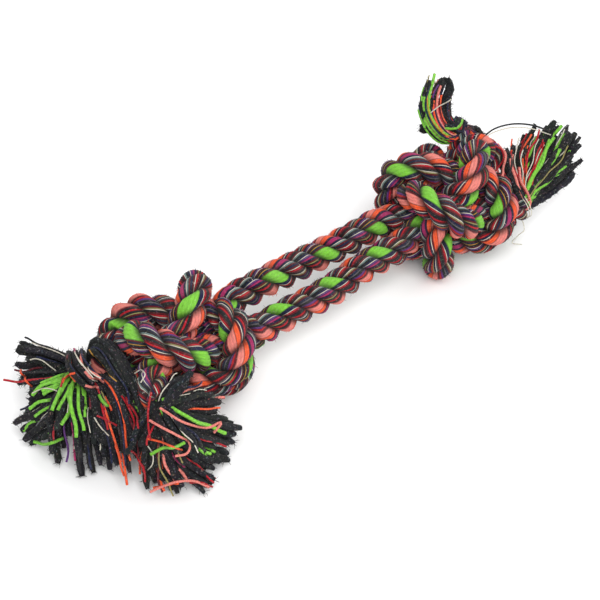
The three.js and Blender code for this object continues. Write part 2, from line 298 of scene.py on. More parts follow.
# What lies round each of a rope's three strands, in order: single yarns, and wide soft ones that take a few
# letters of one colour. Then how wide the letters lie against the others.
STRANDS = ("LLLLNNWRDCCRDYWNKRCPWDCGND", "SSSOODWNRDCDWTCNWPMNDKCRCD", "SSOONMMNWTDNDWRDCWKDNYCPRD")
WIDTHS = {"W": 0.42, "G": 0.5, "K": 0.6, "T": 0.7, "Y": 0.75, "D": 0.85, "L": 2.1, "S": 1.5, "O": 1.1}


def yarn_colours(letters):
    """Linear RGBA of a row of yarns named by their letters."""
    palette = bpy.context.scene.rope_toy_colours
    return np.array([[*getattr(palette, SHORT[letter]), 1.0] for letter in letters])


def number_of(title, about, default, **limits):
    """A setting that is a plain number."""
    return bpy.props.FloatProperty(name=title, description=about, default=default, **limits)


def whole_number(title, about, default, **limits):
    """A setting that is a count."""
    return bpy.props.IntProperty(name=title, description=about, default=default, **limits)


def length_of(title, about, default, **limits):
    """A setting that is a length in metres."""
    return number_of(title, about, default, unit="LENGTH", **limits)


def angle_of(title, about, degrees):
    """A setting that is an angle."""
    return number_of(title, about, degrees * DEGREE, subtype="ANGLE")


class RopeToyColours(bpy.types.PropertyGroup):
    """The cotton yarns' colours."""

    __annotations__ = {
        name: bpy.props.FloatVectorProperty(
            name=name.capitalize(),
            description=about,
            subtype="COLOR",
            size=3,
            min=0,
            max=1,
            default=tint(*shade),
        )
        for name, (about, shade) in YARNS.items()
    }


class RopeToySizes(bpy.types.PropertyGroup):
    """The sizes of the rope and its yarns."""

    plumpness: number_of(
        "Plumpness", "Thickness of the soft rope over its nominal diameter", 1.06, min=0.8, max=1.2
    )
    knot_plumpness: number_of(
        "Plumpness in a knot",
        "The same where the rope fills the room between the other leads of a knot",
        1.08,
        min=0.8,
        max=1.3,
    )
    lay_length: length_of(
        "Lay length", "Length of rope in which a strand goes round once", 0.040, min=0.02, max=0.1
    )
    strand_depth: number_of(
        "Strand depth", "Half of a strand's thickness over the rope's radius", 0.47, min=0.4, max=0.6
    )
    strand_width: number_of(
        "Strand width",
        "Half of a strand's width round the rope over the rope's radius",
        0.51,
        min=0.4,
        max=0.8,
    )
    yarn_ridge: length_of(
        "Yarn ridge",
        "How far the middle of a yarn stands out from the grooves beside it",
        0.00040,
        min=0,
        max=0.001,
    )
    # Painted shade in the grooves between yarns, multiplied into their colours
    groove: number_of("Groove shade", "How light the groove between two yarns is", 0.30, min=0, max=1)
    band_groove: number_of(
        "Groove shade in a band", "The same between two yarns of one colour", 0.84, min=0, max=1
    )
    # Painted shade in the crease between strands, multiplied into their colours
    crease: number_of("Crease shade", "How light the crease between two strands is", 0.22, min=0, max=1)
    counter_twist: number_of(
        "Counter twist",
        "How far a strand's yarns turn back for each turn of the lay",
        0.95,
        min=0,
        max=1.2,
    )
    ring_step: length_of(
        "Ring step", "Length of rope between two rings of its surface", 0.0016, min=0.0008, max=0.004
    )
    rope_fibres: whole_number(
        "Stray fibres", "Short fibres that stand out of each rope", 6000, min=0, max=10000
    )
    rope_fibre_length: length_of(
        "Stray fibre length", "Length of the longest stray fibre", 0.0026, min=0.0005, max=0.01
    )
    press_clearance: length_of(
        "Press clearance",
        "Room left between two leads that press on each other, from each to the middle",
        0.0001,
        min=0,
        max=0.001,
    )


# Meshes

# Painted shade on a tube's cut end: how light it is against its side
END_PAINTED_SHADE = 0.5


def tube_mesh(name, grids, colours, around, along, material, shade=1.0):
    """A mesh of closed tubes from grids[tube, ring, column, xyz]. Each tube's ends are closed by a fan
    round the middle of its end ring. colours is one RGBA for each tube, or for each column of each tube,
    and is darkened by painted shade: by shade[tube, ring, column] on the sides and by a painted end shade
    on the cut ends. The UV map holds around (per column, from 0) and along (per ring), so that a pattern
    can follow the yarns."""
    tubes, rings, columns, _ = grids.shape
    ends = grids[:, [0, -1]].mean(axis=2)
    vertices = np.concatenate([grids.reshape(-1, 3), ends.reshape(-1, 3)])
    index = np.arange(tubes * rings * columns).reshape(tubes, rings, columns)
    ahead = np.roll(index, -1, axis=2)
    quads = np.stack([index[:, :-1], ahead[:, :-1], ahead[:, 1:], index[:, 1:]], axis=-1)
    middles = tubes * rings * columns + np.arange(tubes * 2).reshape(tubes, 2, 1)
    first = np.stack(np.broadcast_arrays(middles[:, 0], ahead[:, 0], index[:, 0]), axis=-1)
    last = np.stack(np.broadcast_arrays(middles[:, 1], index[:, -1], ahead[:, -1]), axis=-1)
    fans = np.stack([first, last], axis=1)

    mesh = bpy.data.meshes.new(name)
    loops = np.concatenate([quads.ravel(), fans.ravel()]).astype(np.int32)
    fan_starts = quads.size + np.arange(fans[..., 0].size) * 3
    starts = np.concatenate([np.arange(quads[..., 0].size) * 4, fan_starts])
    mesh.vertices.add(len(vertices))
    mesh.vertices.foreach_set("co", vertices.ravel().astype(np.float32))
    mesh.loops.add(len(loops))
    mesh.loops.foreach_set("vertex_index", loops)
    mesh.polygons.add(len(starts))
    mesh.polygons.foreach_set("loop_start", starts.astype(np.int32))
    mesh.update(calc_edges=True)
    mesh.polygons.foreach_set("use_smooth", np.ones(len(starts), bool))

    colours = np.broadcast_to(colours[:, None] if colours.ndim == 2 else colours, (tubes, columns, 4))
    shade = np.broadcast_to(shade, (tubes, rings, columns))
    beside = np.roll(shade, -1, axis=2)
    on_quads = np.stack([shade[:, :-1], beside[:, :-1], beside[:, 1:], shade[:, 1:]], axis=-1)[..., None]
    on_quads = on_quads * [1, 1, 1, 0] * colours[:, None, :, None] + [0, 0, 0, 1]
    on_fans = colours[:, None, :, None] * [END_PAINTED_SHADE, END_PAINTED_SHADE, END_PAINTED_SHADE, 1]
    on_fans = np.broadcast_to(on_fans, fans.shape + (4,))
    # The corner colour attribute holds the yarns' colours with the painted shade multiplied in
    colour_with_painted_shade = mesh.color_attributes.new("yarn_colour_painted_shade", "BYTE_COLOR", "CORNER")
    colour_with_painted_shade.data.foreach_set("color", np.concatenate([on_quads.reshape(-1, 4), on_fans.reshape(-1, 4)]).ravel())

    u = np.arange(columns) * around
    v = np.broadcast_to(along, (tubes, rings))
    u_quad = np.broadcast_to(np.stack([u, u + around, u + around, u], -1), quads.shape)
    v_quad = np.stack([v[:, :-1], v[:, :-1], v[:, 1:], v[:, 1:]], -1)[:, :, None]
    v_quad = np.broadcast_to(v_quad, quads.shape)
    u_fan = np.broadcast_to(np.stack([u, u + around, u], -1), fans.shape)
    v_fan = np.broadcast_to(v[:, [0, -1], None, None], fans.shape)
    uv = [np.stack(pair, -1).reshape(-1, 2) for pair in ((u_quad, v_quad), (u_fan, v_fan))]
    uv = np.concatenate(uv)
    mesh.uv_layers.new(name="yarn_run").data.foreach_set("uv", uv.ravel().astype(np.float32))

    is_end = np.zeros(len(vertices), bool)
    is_end[index[:, [0, -1]].ravel()] = True
    is_end[middles.ravel()] = True
    edges = np.empty(len(mesh.edges) * 2, np.int32)
    mesh.edges.foreach_get("vertices", edges)
    sharp = is_end[edges.reshape(-1, 2)].all(axis=1)
    mesh.attributes.new("sharp_edge", "BOOLEAN", "EDGE").data.foreach_set("value", sharp)
    mesh.materials.append(material)
    return mesh


def place(name, mesh):
    """An object for a mesh that is already in its place, riding on the toy's one body."""
    piece = bpy.data.objects.new(name, mesh)
    bpy.context.scene.collection.objects.link(piece)
    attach(piece, "root")
    return piece


def round_rings(lines, radii, sides):
    """Round sections: radius x (normal cos a + side sin a) round each point of a line, at equal angles a."""
    _, normal, side = carried_frames(lines)
    angle = np.arange(sides) * TURN / sides
    spokes = normal[..., None, :] * np.cos(angle)[:, None] + side[..., None, :] * np.sin(angle)[:, None]
    return lines[..., None, :] + radii[..., None, None] * spokes


# Finishes


def add_node(tree, kind, inputs=None, **settings):
    """A shader node with its settings and its unlinked inputs."""
    made = tree.nodes.new(kind)
    for key, value in settings.items():
        setattr(made, key, value)
    for key, value in (inputs or {}).items():
        made.inputs[key].default_value = value
    return made


def math_node(tree, operation, first, second=None, third=None):
    """A Math node whose operands are sockets or numbers."""
    made = tree.nodes.new("ShaderNodeMath")
    made.operation = operation
    for socket, value in zip(made.inputs, (first, second, third)):
        if isinstance(value, (int, float)):
            socket.default_value = value
        elif value is not None:
            tree.links.new(value, socket)
    return made.outputs[0]


def mix_colour(tree, blend, factor, first, second):
    """A Mix node for colours, whose factor and colours are sockets or values."""
    made = add_node(tree, "ShaderNodeMix", data_type="RGBA", blend_type=blend)
    for socket, value in ((made.inputs[0], factor), (made.inputs[6], first), (made.inputs[7], second)):
        if isinstance(value, bpy.types.NodeSocket):
            tree.links.new(value, socket)
        else:
            socket.default_value = value
    return made.outputs[2]


# Spun cotton: how far a ply runs on as it goes round, how fibres are drawn out along the yarn, how close
# together the patches, specks and hues of lint lie, and the colours that patches fade to and that lint is
# mixed with
PLY_SLANT = 0.9
FIBRE_SCALE = (9.0, 0.9, 1.0)
PATCH_SCALE = 85.0
SPECK_SCALE = 800.0
HUE_SCALE = 420.0
FADED = (0.55, 0.5, 0.46, 1.0)
PALE_LINT = (0.5, 0.46, 0.42, 1.0)
# The noise above which a patch or a speck shows, and how fast it then comes up
PATCH_FROM, PATCH_GAIN = 0.42, 3.0
SPECK_FROM, SPECK_GAIN = 0.57, 7.0
STREAK_GAIN = 2.6


def cotton_group():
    """Spun cotton on a yarn: slanting plies from the yarn's own UV run, bumped, with painted shade between
    them and painted light on their crowns, fibres drawn out along it, soft patches of fading, and specks of
    pale lint."""
    group = bpy.data.node_groups.get("Spun cotton")
    if group:
        return group
    group = bpy.data.node_groups.new("Spun cotton", "ShaderNodeTree")
    # Yarn Colour takes the yarn's colour with its painted shade already multiplied in
    sockets = (
        ("Yarn Colour", "INPUT", "NodeSocketColor", None),
        ("Plies", "INPUT", "NodeSocketFloat", 0.35),
        ("Streaks", "INPUT", "NodeSocketFloat", 0.35),
        ("Fading", "INPUT", "NodeSocketFloat", 0.2),
        ("Lint", "INPUT", "NodeSocketFloat", 0.3),
        ("Colour", "OUTPUT", "NodeSocketColor", None),
        ("Roughness", "OUTPUT", "NodeSocketFloat", None),
        ("Height", "OUTPUT", "NodeSocketFloat", None),
    )
    for name, way, kind, value in sockets:
        socket = group.interface.new_socket(name=name, in_out=way, socket_type=kind)
        if value is not None:
            socket.default_value = value
    given = group.nodes.new("NodeGroupInput")
    out = group.nodes.new("NodeGroupOutput")
    link = group.links.new
    reckon = partial(math_node, group)
    run = add_node(group, "ShaderNodeUVMap", uv_map="yarn_run")
    split = group.nodes.new("ShaderNodeSeparateXYZ")
    link(run.outputs[0], split.inputs[0])
    place_on = group.nodes.new("ShaderNodeTexCoord").outputs["Object"]

    # plies: a sine on the yarn's slant, one wave round each yarn
    slant = reckon("MULTIPLY", split.outputs[1], PLY_SLANT)
    slant = reckon("ADD", split.outputs[0], slant)
    ply = reckon("SINE", reckon("MULTIPLY", slant, TURN))
    ply = reckon("MULTIPLY_ADD", ply, 0.5, 0.5)

    # fibres: noise on the yarn's run, drawn out ten times along it
    stretch = add_node(group, "ShaderNodeMapping", {"Scale": FIBRE_SCALE})
    link(run.outputs[0], stretch.inputs["Vector"])
    fibre = add_node(group, "ShaderNodeTexNoise", {"Scale": 1.0, "Detail": 4.0, "Roughness": 0.65})
    link(stretch.outputs[0], fibre.inputs["Vector"])
    patch = add_node(group, "ShaderNodeTexNoise", {"Scale": PATCH_SCALE, "Detail": 2.0})
    link(place_on, patch.inputs["Vector"])
    speck = add_node(group, "ShaderNodeTexNoise", {"Scale": SPECK_SCALE, "Detail": 2.0, "Roughness": 0.7})
    link(place_on, speck.inputs["Vector"])

    # tone: the fibres lighten and darken the colour, and the plies add painted shade between them and
    # painted light on their crowns
    light = reckon("SUBTRACT", fibre.outputs[0], 0.5)
    light = reckon("MULTIPLY", light, given.outputs["Streaks"])
    shade = reckon("MULTIPLY", reckon("SUBTRACT", ply, 0.6), given.outputs["Plies"])
    level = reckon("ADD", reckon("MULTIPLY_ADD", light, STREAK_GAIN, 1.0), shade)
    toned = group.nodes.new("ShaderNodeVectorMath")
    toned.operation = "SCALE"
    link(given.outputs["Yarn Colour"], toned.inputs[0])
    link(level, toned.inputs["Scale"])

    # fading: soft patches of a pale warm grey
    fade = reckon("SUBTRACT", patch.outputs[0], PATCH_FROM)
    fade = reckon("MULTIPLY", fade, given.outputs["Fading"])
    fade = reckon("MAXIMUM", reckon("MULTIPLY", fade, PATCH_GAIN), 0.0)
    faded = mix_colour(group, "MIX", fade, toned.outputs[0], FADED)

    # lint: pale specks of mixed hues
    flecks = reckon("SUBTRACT", speck.outputs[0], SPECK_FROM)
    flecks = reckon("MULTIPLY", flecks, SPECK_GAIN)
    flecks = reckon("MULTIPLY", reckon("MAXIMUM", flecks, 0.0), given.outputs["Lint"])
    hue = add_node(group, "ShaderNodeTexNoise", {"Scale": HUE_SCALE, "Detail": 1.0})
    link(place_on, hue.inputs["Vector"])
    strong = add_node(group, "ShaderNodeHueSaturation", {"Saturation": 1.7})
    link(hue.outputs["Color"], strong.inputs["Color"])
    lint = mix_colour(group, "MIX", 0.45, strong.outputs[0], PALE_LINT)
    link(mix_colour(group, "MIX", flecks, faded, lint), out.inputs["Colour"])

    link(reckon("MULTIPLY_ADD", fibre.outputs[0], 0.15, 0.82), out.inputs["Roughness"])
    raised = reckon("MULTIPLY", ply, reckon("MULTIPLY", given.outputs["Plies"], 2.0))
    height = reckon("ADD", raised, reckon("MULTIPLY", fibre.outputs[0], 0.9))
    link(height, out.inputs["Height"])
    return group


# The finishes: shares of plies with their painted shade, streaks, fading and lint, depth of the bump in
# metres, and sheen
FINISHES = {
    "Laid cotton yarn": (0.0, 0.8, 0.05, 0.16, 0.0004, 0.04),
    "Fluffy core yarn": (0.0, 0.9, 0.02, 0.26, 0.0012, 0.03),
    "Loose cover yarn": (0.2, 0.7, 0.04, 0.25, 0.0005, 0.05),
    "Tie thread": (0.3, 0.3, 0.0, 0.1, 0.0001, 0.08),
}


def cotton(name):
    """A soft cotton finish: the yarn's colour with its painted shade through the spun cotton group, bumped,
    with a sheen.
    """
    found = bpy.data.materials.get(name)
    if found:
        return found
    plies, streaks, fading, lint, depth, sheen = FINISHES[name]
    made = bpy.data.materials.new(name)
    made.use_nodes = True
    tree = made.node_tree
    shader = next(n for n in tree.nodes if n.type == "BSDF_PRINCIPLED")
    shader.inputs["Sheen Weight"].default_value = sheen
    shader.inputs["Sheen Roughness"].default_value = 0.45
    shader.inputs["Specular IOR Level"].default_value = 0.25
    colour_with_painted_shade = add_node(tree, "ShaderNodeAttribute", attribute_name="yarn_colour_painted_shade")
    spun = add_node(tree, "ShaderNodeGroup", node_tree=cotton_group())
    for socket, value in (("Plies", plies), ("Streaks", streaks), ("Fading", fading), ("Lint", lint)):
        spun.inputs[socket].default_value = value
    bump = add_node(tree, "ShaderNodeBump", {"Strength": 0.9, "Distance": depth})
    link = tree.links.new
    link(colour_with_painted_shade.outputs["Color"], spun.inputs["Yarn Colour"])
    link(spun.outputs["Colour"], shader.inputs["Base Color"])
    link(spun.outputs["Roughness"], shader.inputs["Roughness"])
    link(spun.outputs["Height"], bump.inputs["Height"])
    link(bump.outputs["Normal"], shader.inputs["Normal"])
    return made


# The ropes

# Each yarn on a strand takes three columns of the strand's grid: its groove and two on its back
YARN_COLUMNS = 3
# Soft unevenness of a strand, as how much and over what length of rope: of its lay in radians, and of its
# breadth as a share
LAY_WANDER, LAY_STRETCH = 0.10, 0.09
BREADTH_WANDER, BREADTH_STRETCH = 0.035, 0.05
# A yarn's ridge over the usual one: the least, how much more it may be, and its mean and wander on the way
RIDGE_LEAST, RIDGE_MORE = 0.75, 0.5
RIDGE_MEAN, RIDGE_WANDER, RIDGE_STRETCH = 0.8, 0.25, 0.017
# Painted shade in the crease between two strands: the cosine from a strand's crown at which it is darkest,
# and its span
CREASE_COSINE, CREASE_SPAN = -0.35, 0.95


def strand_rings(line, radius, sizes, phase, seed):
    """Three laid strands along a line, as points[strand, ring, column, xyz], and the painted shade of each
    point, as how light it is. A strand's middle goes round at the lay angle
    2 pi (s / lay length + strand / 3), its section is an ellipse, and its columns follow its yarns, which
    turn back by a share of the lay. Each yarn stands out by a ridge between two grooves. Painted shade
    darkens the grooves between the yarns and the crease between the strands."""
    _, normal, side = carried_frames(line)
    along = lengths_along(line)
    lay = TURN * along / sizes.lay_length
    strand = np.arange(3)[:, None]
    rng = np.random.default_rng(seed)
    wander = LAY_WANDER * ripple(along[None] / LAY_STRETCH, rng.random((3, 1)))
    lay_angle = lay[None] + TURN * strand / 3 + phase + wander
    outwards = normal * np.cos(lay_angle)[..., None] + side * np.sin(lay_angle)[..., None]
    round_way = side * np.cos(lay_angle)[..., None] - normal * np.sin(lay_angle)[..., None]

    widths = np.array([[WIDTHS.get(letter, 1.0) for letter in row] for row in STRANDS])
    yarns = widths.shape[1]
    widths = widths / widths.sum(axis=1, keepdims=True)
    borders = np.cumsum(widths, axis=1) - widths
    columns = yarns * YARN_COLUMNS
    share = (borders[..., None] + widths[..., None] * [0, 1 / 3, 2 / 3]).reshape(3, 1, columns)
    yarn_angle = TURN * (share + rng.random((3, 1, 1))) - sizes.counter_twist * lay[None, :, None]
    angle = yarn_angle - lay_angle[..., None]
    uneven = (RIDGE_LEAST + RIDGE_MORE * rng.random((3, 1, yarns))) * np.minimum(widths * yarns, 1)[:, None]
    wander = ripple(along[None, :, None] / RIDGE_STRETCH, rng.random((3, 1, yarns)))
    wander = RIDGE_MEAN + RIDGE_WANDER * wander
    ridge = np.repeat(uneven * wander, YARN_COLUMNS, axis=2) * np.tile([0.0, 1.0, 1.0], yarns)
    ridge = ridge * sizes.yarn_ridge

    breadth = 1 + BREADTH_WANDER * ripple(along[None] / BREADTH_STRETCH, rng.random((3, 1)))
    depth = radius * sizes.strand_depth * breadth
    width = radius * sizes.strand_width * breadth
    middle = radius * (1 - sizes.strand_depth) - sizes.yarn_ridge
    out = middle[None, :, None] + (depth[..., None] + ridge) * np.cos(angle)
    sideways = (width[..., None] + ridge) * np.sin(angle)
    grids = line[None, :, None] + out[..., None] * outwards[:, :, None]
    grids = grids + sideways[..., None] * round_way[:, :, None]

    # Painted shade: the colour is darkened in the grooves between yarns and in the crease between strands
    alike = np.array([[row[i] == row[i - 1] for i in range(yarns)] for row in STRANDS])
    groove = np.ones((3, yarns, YARN_COLUMNS))
    groove[..., 0] = np.where(alike, sizes.band_groove, sizes.groove)
    lit = np.clip((np.cos(angle) - CREASE_COSINE) / CREASE_SPAN, 0, 1)
    crease = sizes.crease + (1 - sizes.crease) * eased(lit)
    return grids, crease * groove.reshape(3, 1, columns)


# Leads press on each other within this distance, through this many of their nearest points. The power sets
# how flat they get, and the push is kept under a limit.
PRESS_REACH = 0.05
PRESS_POINTS = 30
PRESS_POWER = 14
PRESS_LIMIT = 4
LEAST_ROOM = 1e-4


def make_room(grids, line, own, others, clearance):
    """Squashes leads that press on each other. A point at offset u from its own line is drawn in by (1 +
    m)^(-1/p), where m is the greatest (u . d / h)^p over the near points of the other leads, d is the
    direction to one and h is half the distance to it, so that it stays on its own side of the plane between
    the two."""
    apart = np.linalg.norm(line[:, None] - others[None], axis=-1)
    apart = np.where(own, np.inf, apart)
    near = np.argpartition(apart, PRESS_POINTS, axis=1)[:, :PRESS_POINTS]
    away = others[near] - line[:, None]
    distance = np.linalg.norm(away, axis=-1)
    room = np.maximum(distance / 2 - clearance, LEAST_ROOM)
    reach = distance < PRESS_REACH
    for grid in grids:
        offset = grid - line[:, None]
        push = np.einsum("rcx,rkx->rck", offset, away / distance[..., None]) / room[:, None]
        push = np.where(reach[:, None], np.clip(push, 0, PRESS_LIMIT), 0)
        shrink = (1 + (push**PRESS_POWER).max(axis=2)) ** (-1 / PRESS_POWER)
        grid[:] = line[:, None] + offset * shrink[..., None]
    return grids


# A knot's plumpness ends this far from its middle, in rope diameters, and eases in over one diameter. At
# its tails the rope eases to its nominal size over a length in metres.
KNOT_REACH = 3.6
TAIL_EASE = 0.035


def plump_radius(line, sizes):
    """The rope's radius along its line: half its diameter, and plumper everywhere but at its tails."""
    ends = np.array([CENTRES["near"], CENTRES["far"]])
    from_knot = np.linalg.norm(line[:, None] - ends[None], axis=-1).min(axis=1) / ROPE
    in_knot = eased(np.clip(KNOT_REACH - from_knot, 0, 1))
    along = lengths_along(line)
    to_end = np.minimum(along, along[-1] - along)
    tail = np.clip(1 - to_end / TAIL_EASE, 0, 1)
    share = sizes.plumpness + (sizes.knot_plumpness - sizes.plumpness) * in_knot
    return ROPE / 2 * (share * (1 - tail) + tail)


# No yarn lies lower than this, and no fibre lower than the second height
YARN_FLOOR = 0.0002
FIBRE_FLOOR = 0.0003
# Stray fibres of the ropes: only where the rope's painted shade is lighter than this, their radii from root
# to tip, and how much lighter than their yarn they are
OPEN_SHADE = 0.7
STRAY_RADII = (0.00012, 0.00010, 0.00004)
STRAY_SHINE = 1.1
# The radii and the lightness of the fibres on a tassel's core yarns
FUZZ_RADII = (0.00016, 0.00013, 0.00006)
FUZZ_SHINE = 1.5


def fibre_tubes(root, out, sunk, first, second, radii):
    """Short fibres as three-sided tapering tubes, each from sunk under its root and on by two steps."""
    hairs = np.stack([root - out * sunk, root + first, root + first + second], axis=1)
    hairs[..., 2] = np.maximum(hairs[..., 2], FIBRE_FLOOR)
    return round_rings(hairs, np.array(radii) * np.ones((len(root), 1)), 3)


def stray_fibres(grids, outwards, shade, count, length, rng):
    """Short fibres on the open side of the ropes, each from a point of the grid first outwards and then
    aside. Returns their sections, and the strand, ring and column of each."""
    at = tuple(rng.integers(0, size, count * 3) for size in grids.shape[:3])
    kept = np.flatnonzero(shade[at] > OPEN_SHADE)[:count]
    at = tuple(index[kept] for index in at)
    root = grids[at]
    out = unit(outwards[at])
    lean = unit(rng.normal(size=(len(root), 3)))
    reach = length * (0.25 + 0.75 * rng.random(len(root)) ** 2)[:, None]
    first = unit(out + 0.9 * lean) * reach * 0.5
    second = unit(out * 0.4 + lean) * reach * 0.5
    return fibre_tubes(root, out, 0.0003, first, second, STRAY_RADII), at


# A rope is two pieces: its near winding with its free length in the bridge, and its far winding
LENGTHS = (("near", ("near_knot_rope", "bridge_rope"), 0, 2), ("far", ("far_knot_rope",), 2, 3))
# The length of yarn, in metres, to one unit of its UV map
YARN_RUN = 0.0018
# How far the second rope's strands are turned from the first's, and the seeds of the ropes' draws
ROPE_PHASE = 0.9
STRAND_SEED = 83
STRAY_SEED = 50
# A lead presses on no part of its own rope nearer than this along it
OWN_REACH = 1.5 * ROPE


def place_lengths(name, line, marks, grids, colours, shade, finish):
    """One rope's two pieces, which meet at the bridge's far end."""
    along = lengths_along(line)
    for side, nodes, first, last in LENGTHS:
        first, last = marks[first], marks[last]
        part = slice(first, last + 1)
        title = f"{side}_rope_{name}"
        run = along[part] / YARN_RUN
        mesh = tube_mesh(title, grids[:, part], colours, 1 / YARN_COLUMNS, run, finish, shade[:, part])
        piece = place(title, mesh)
        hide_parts(*(f"{node}_{name}" for node in nodes))


class ROPETOY_OT_ropes(bpy.types.Operator):
    """Lay both ropes, three strands each, through the two knots and the bridge between them"""

    bl_idname = "rope_toy.ropes"
    bl_label = "Lay the ropes"

    def execute(self, context):
        sizes = context.scene.rope_toy_sizes
        finish = cotton("Laid cotton yarn")
        lines = {name: whole_rope(name, sizes.ring_step) for name in ROUTES}
        everywhere = np.vstack([line for line, _ in lines.values()])
        colours = np.repeat(np.stack([yarn_colours(row) for row in STRANDS]), YARN_COLUMNS, axis=1)
        start = 0
        for number, (name, (line, marks)) in enumerate(lines.items()):
            radius = plump_radius(line, sizes)
            # shade is the painted shade of the grooves and creases, multiplied into the yarns' colours
            grids, shade = strand_rings(line, radius, sizes, number * ROPE_PHASE, STRAND_SEED + number)
            along = lengths_along(line)
            own = np.zeros((len(line), len(everywhere)), bool)
            own[:, start : start + len(line)] = np.abs(along[:, None] - along[None]) < OWN_REACH
            start += len(line)
            grids = make_room(grids, line, own, everywhere, sizes.press_clearance)
            grids[..., 2] = np.maximum(grids[..., 2], YARN_FLOOR)
            place_lengths(name, line, marks, grids, colours, shade, finish)

            rng = np.random.default_rng(STRAY_SEED + number)
            open_side = grids - line[None, :, None]
            count, length = sizes.rope_fibres, sizes.rope_fibre_length
            hairs, at = stray_fibres(grids, open_side, shade, count, length, rng)
            shades = colours[at[0], at[2]] * [STRAY_SHINE, STRAY_SHINE, STRAY_SHINE, 1]
            title = f"fluff_rope_{name}"
            place(title, tube_mesh(title, hairs, shades, 1 / 3, np.arange(3), finish))
        return {"FINISHED"}


# The tassels

# The knot that each tassel hangs from, the rope that it ends, how far its locks draw in again at their
# tips, and how far out its cover yarns start, where less than 1 hides them among the core yarns
TASSELS = {
    "near_right": ("near", "a", 0.0, 0.4),
    "near_left": ("near", "b", 0.0, 0.4),
    "far_upper": ("far", "b", 0.6, 1.0),
    "far_right": ("far", "a", 0.0, 1.0),
}
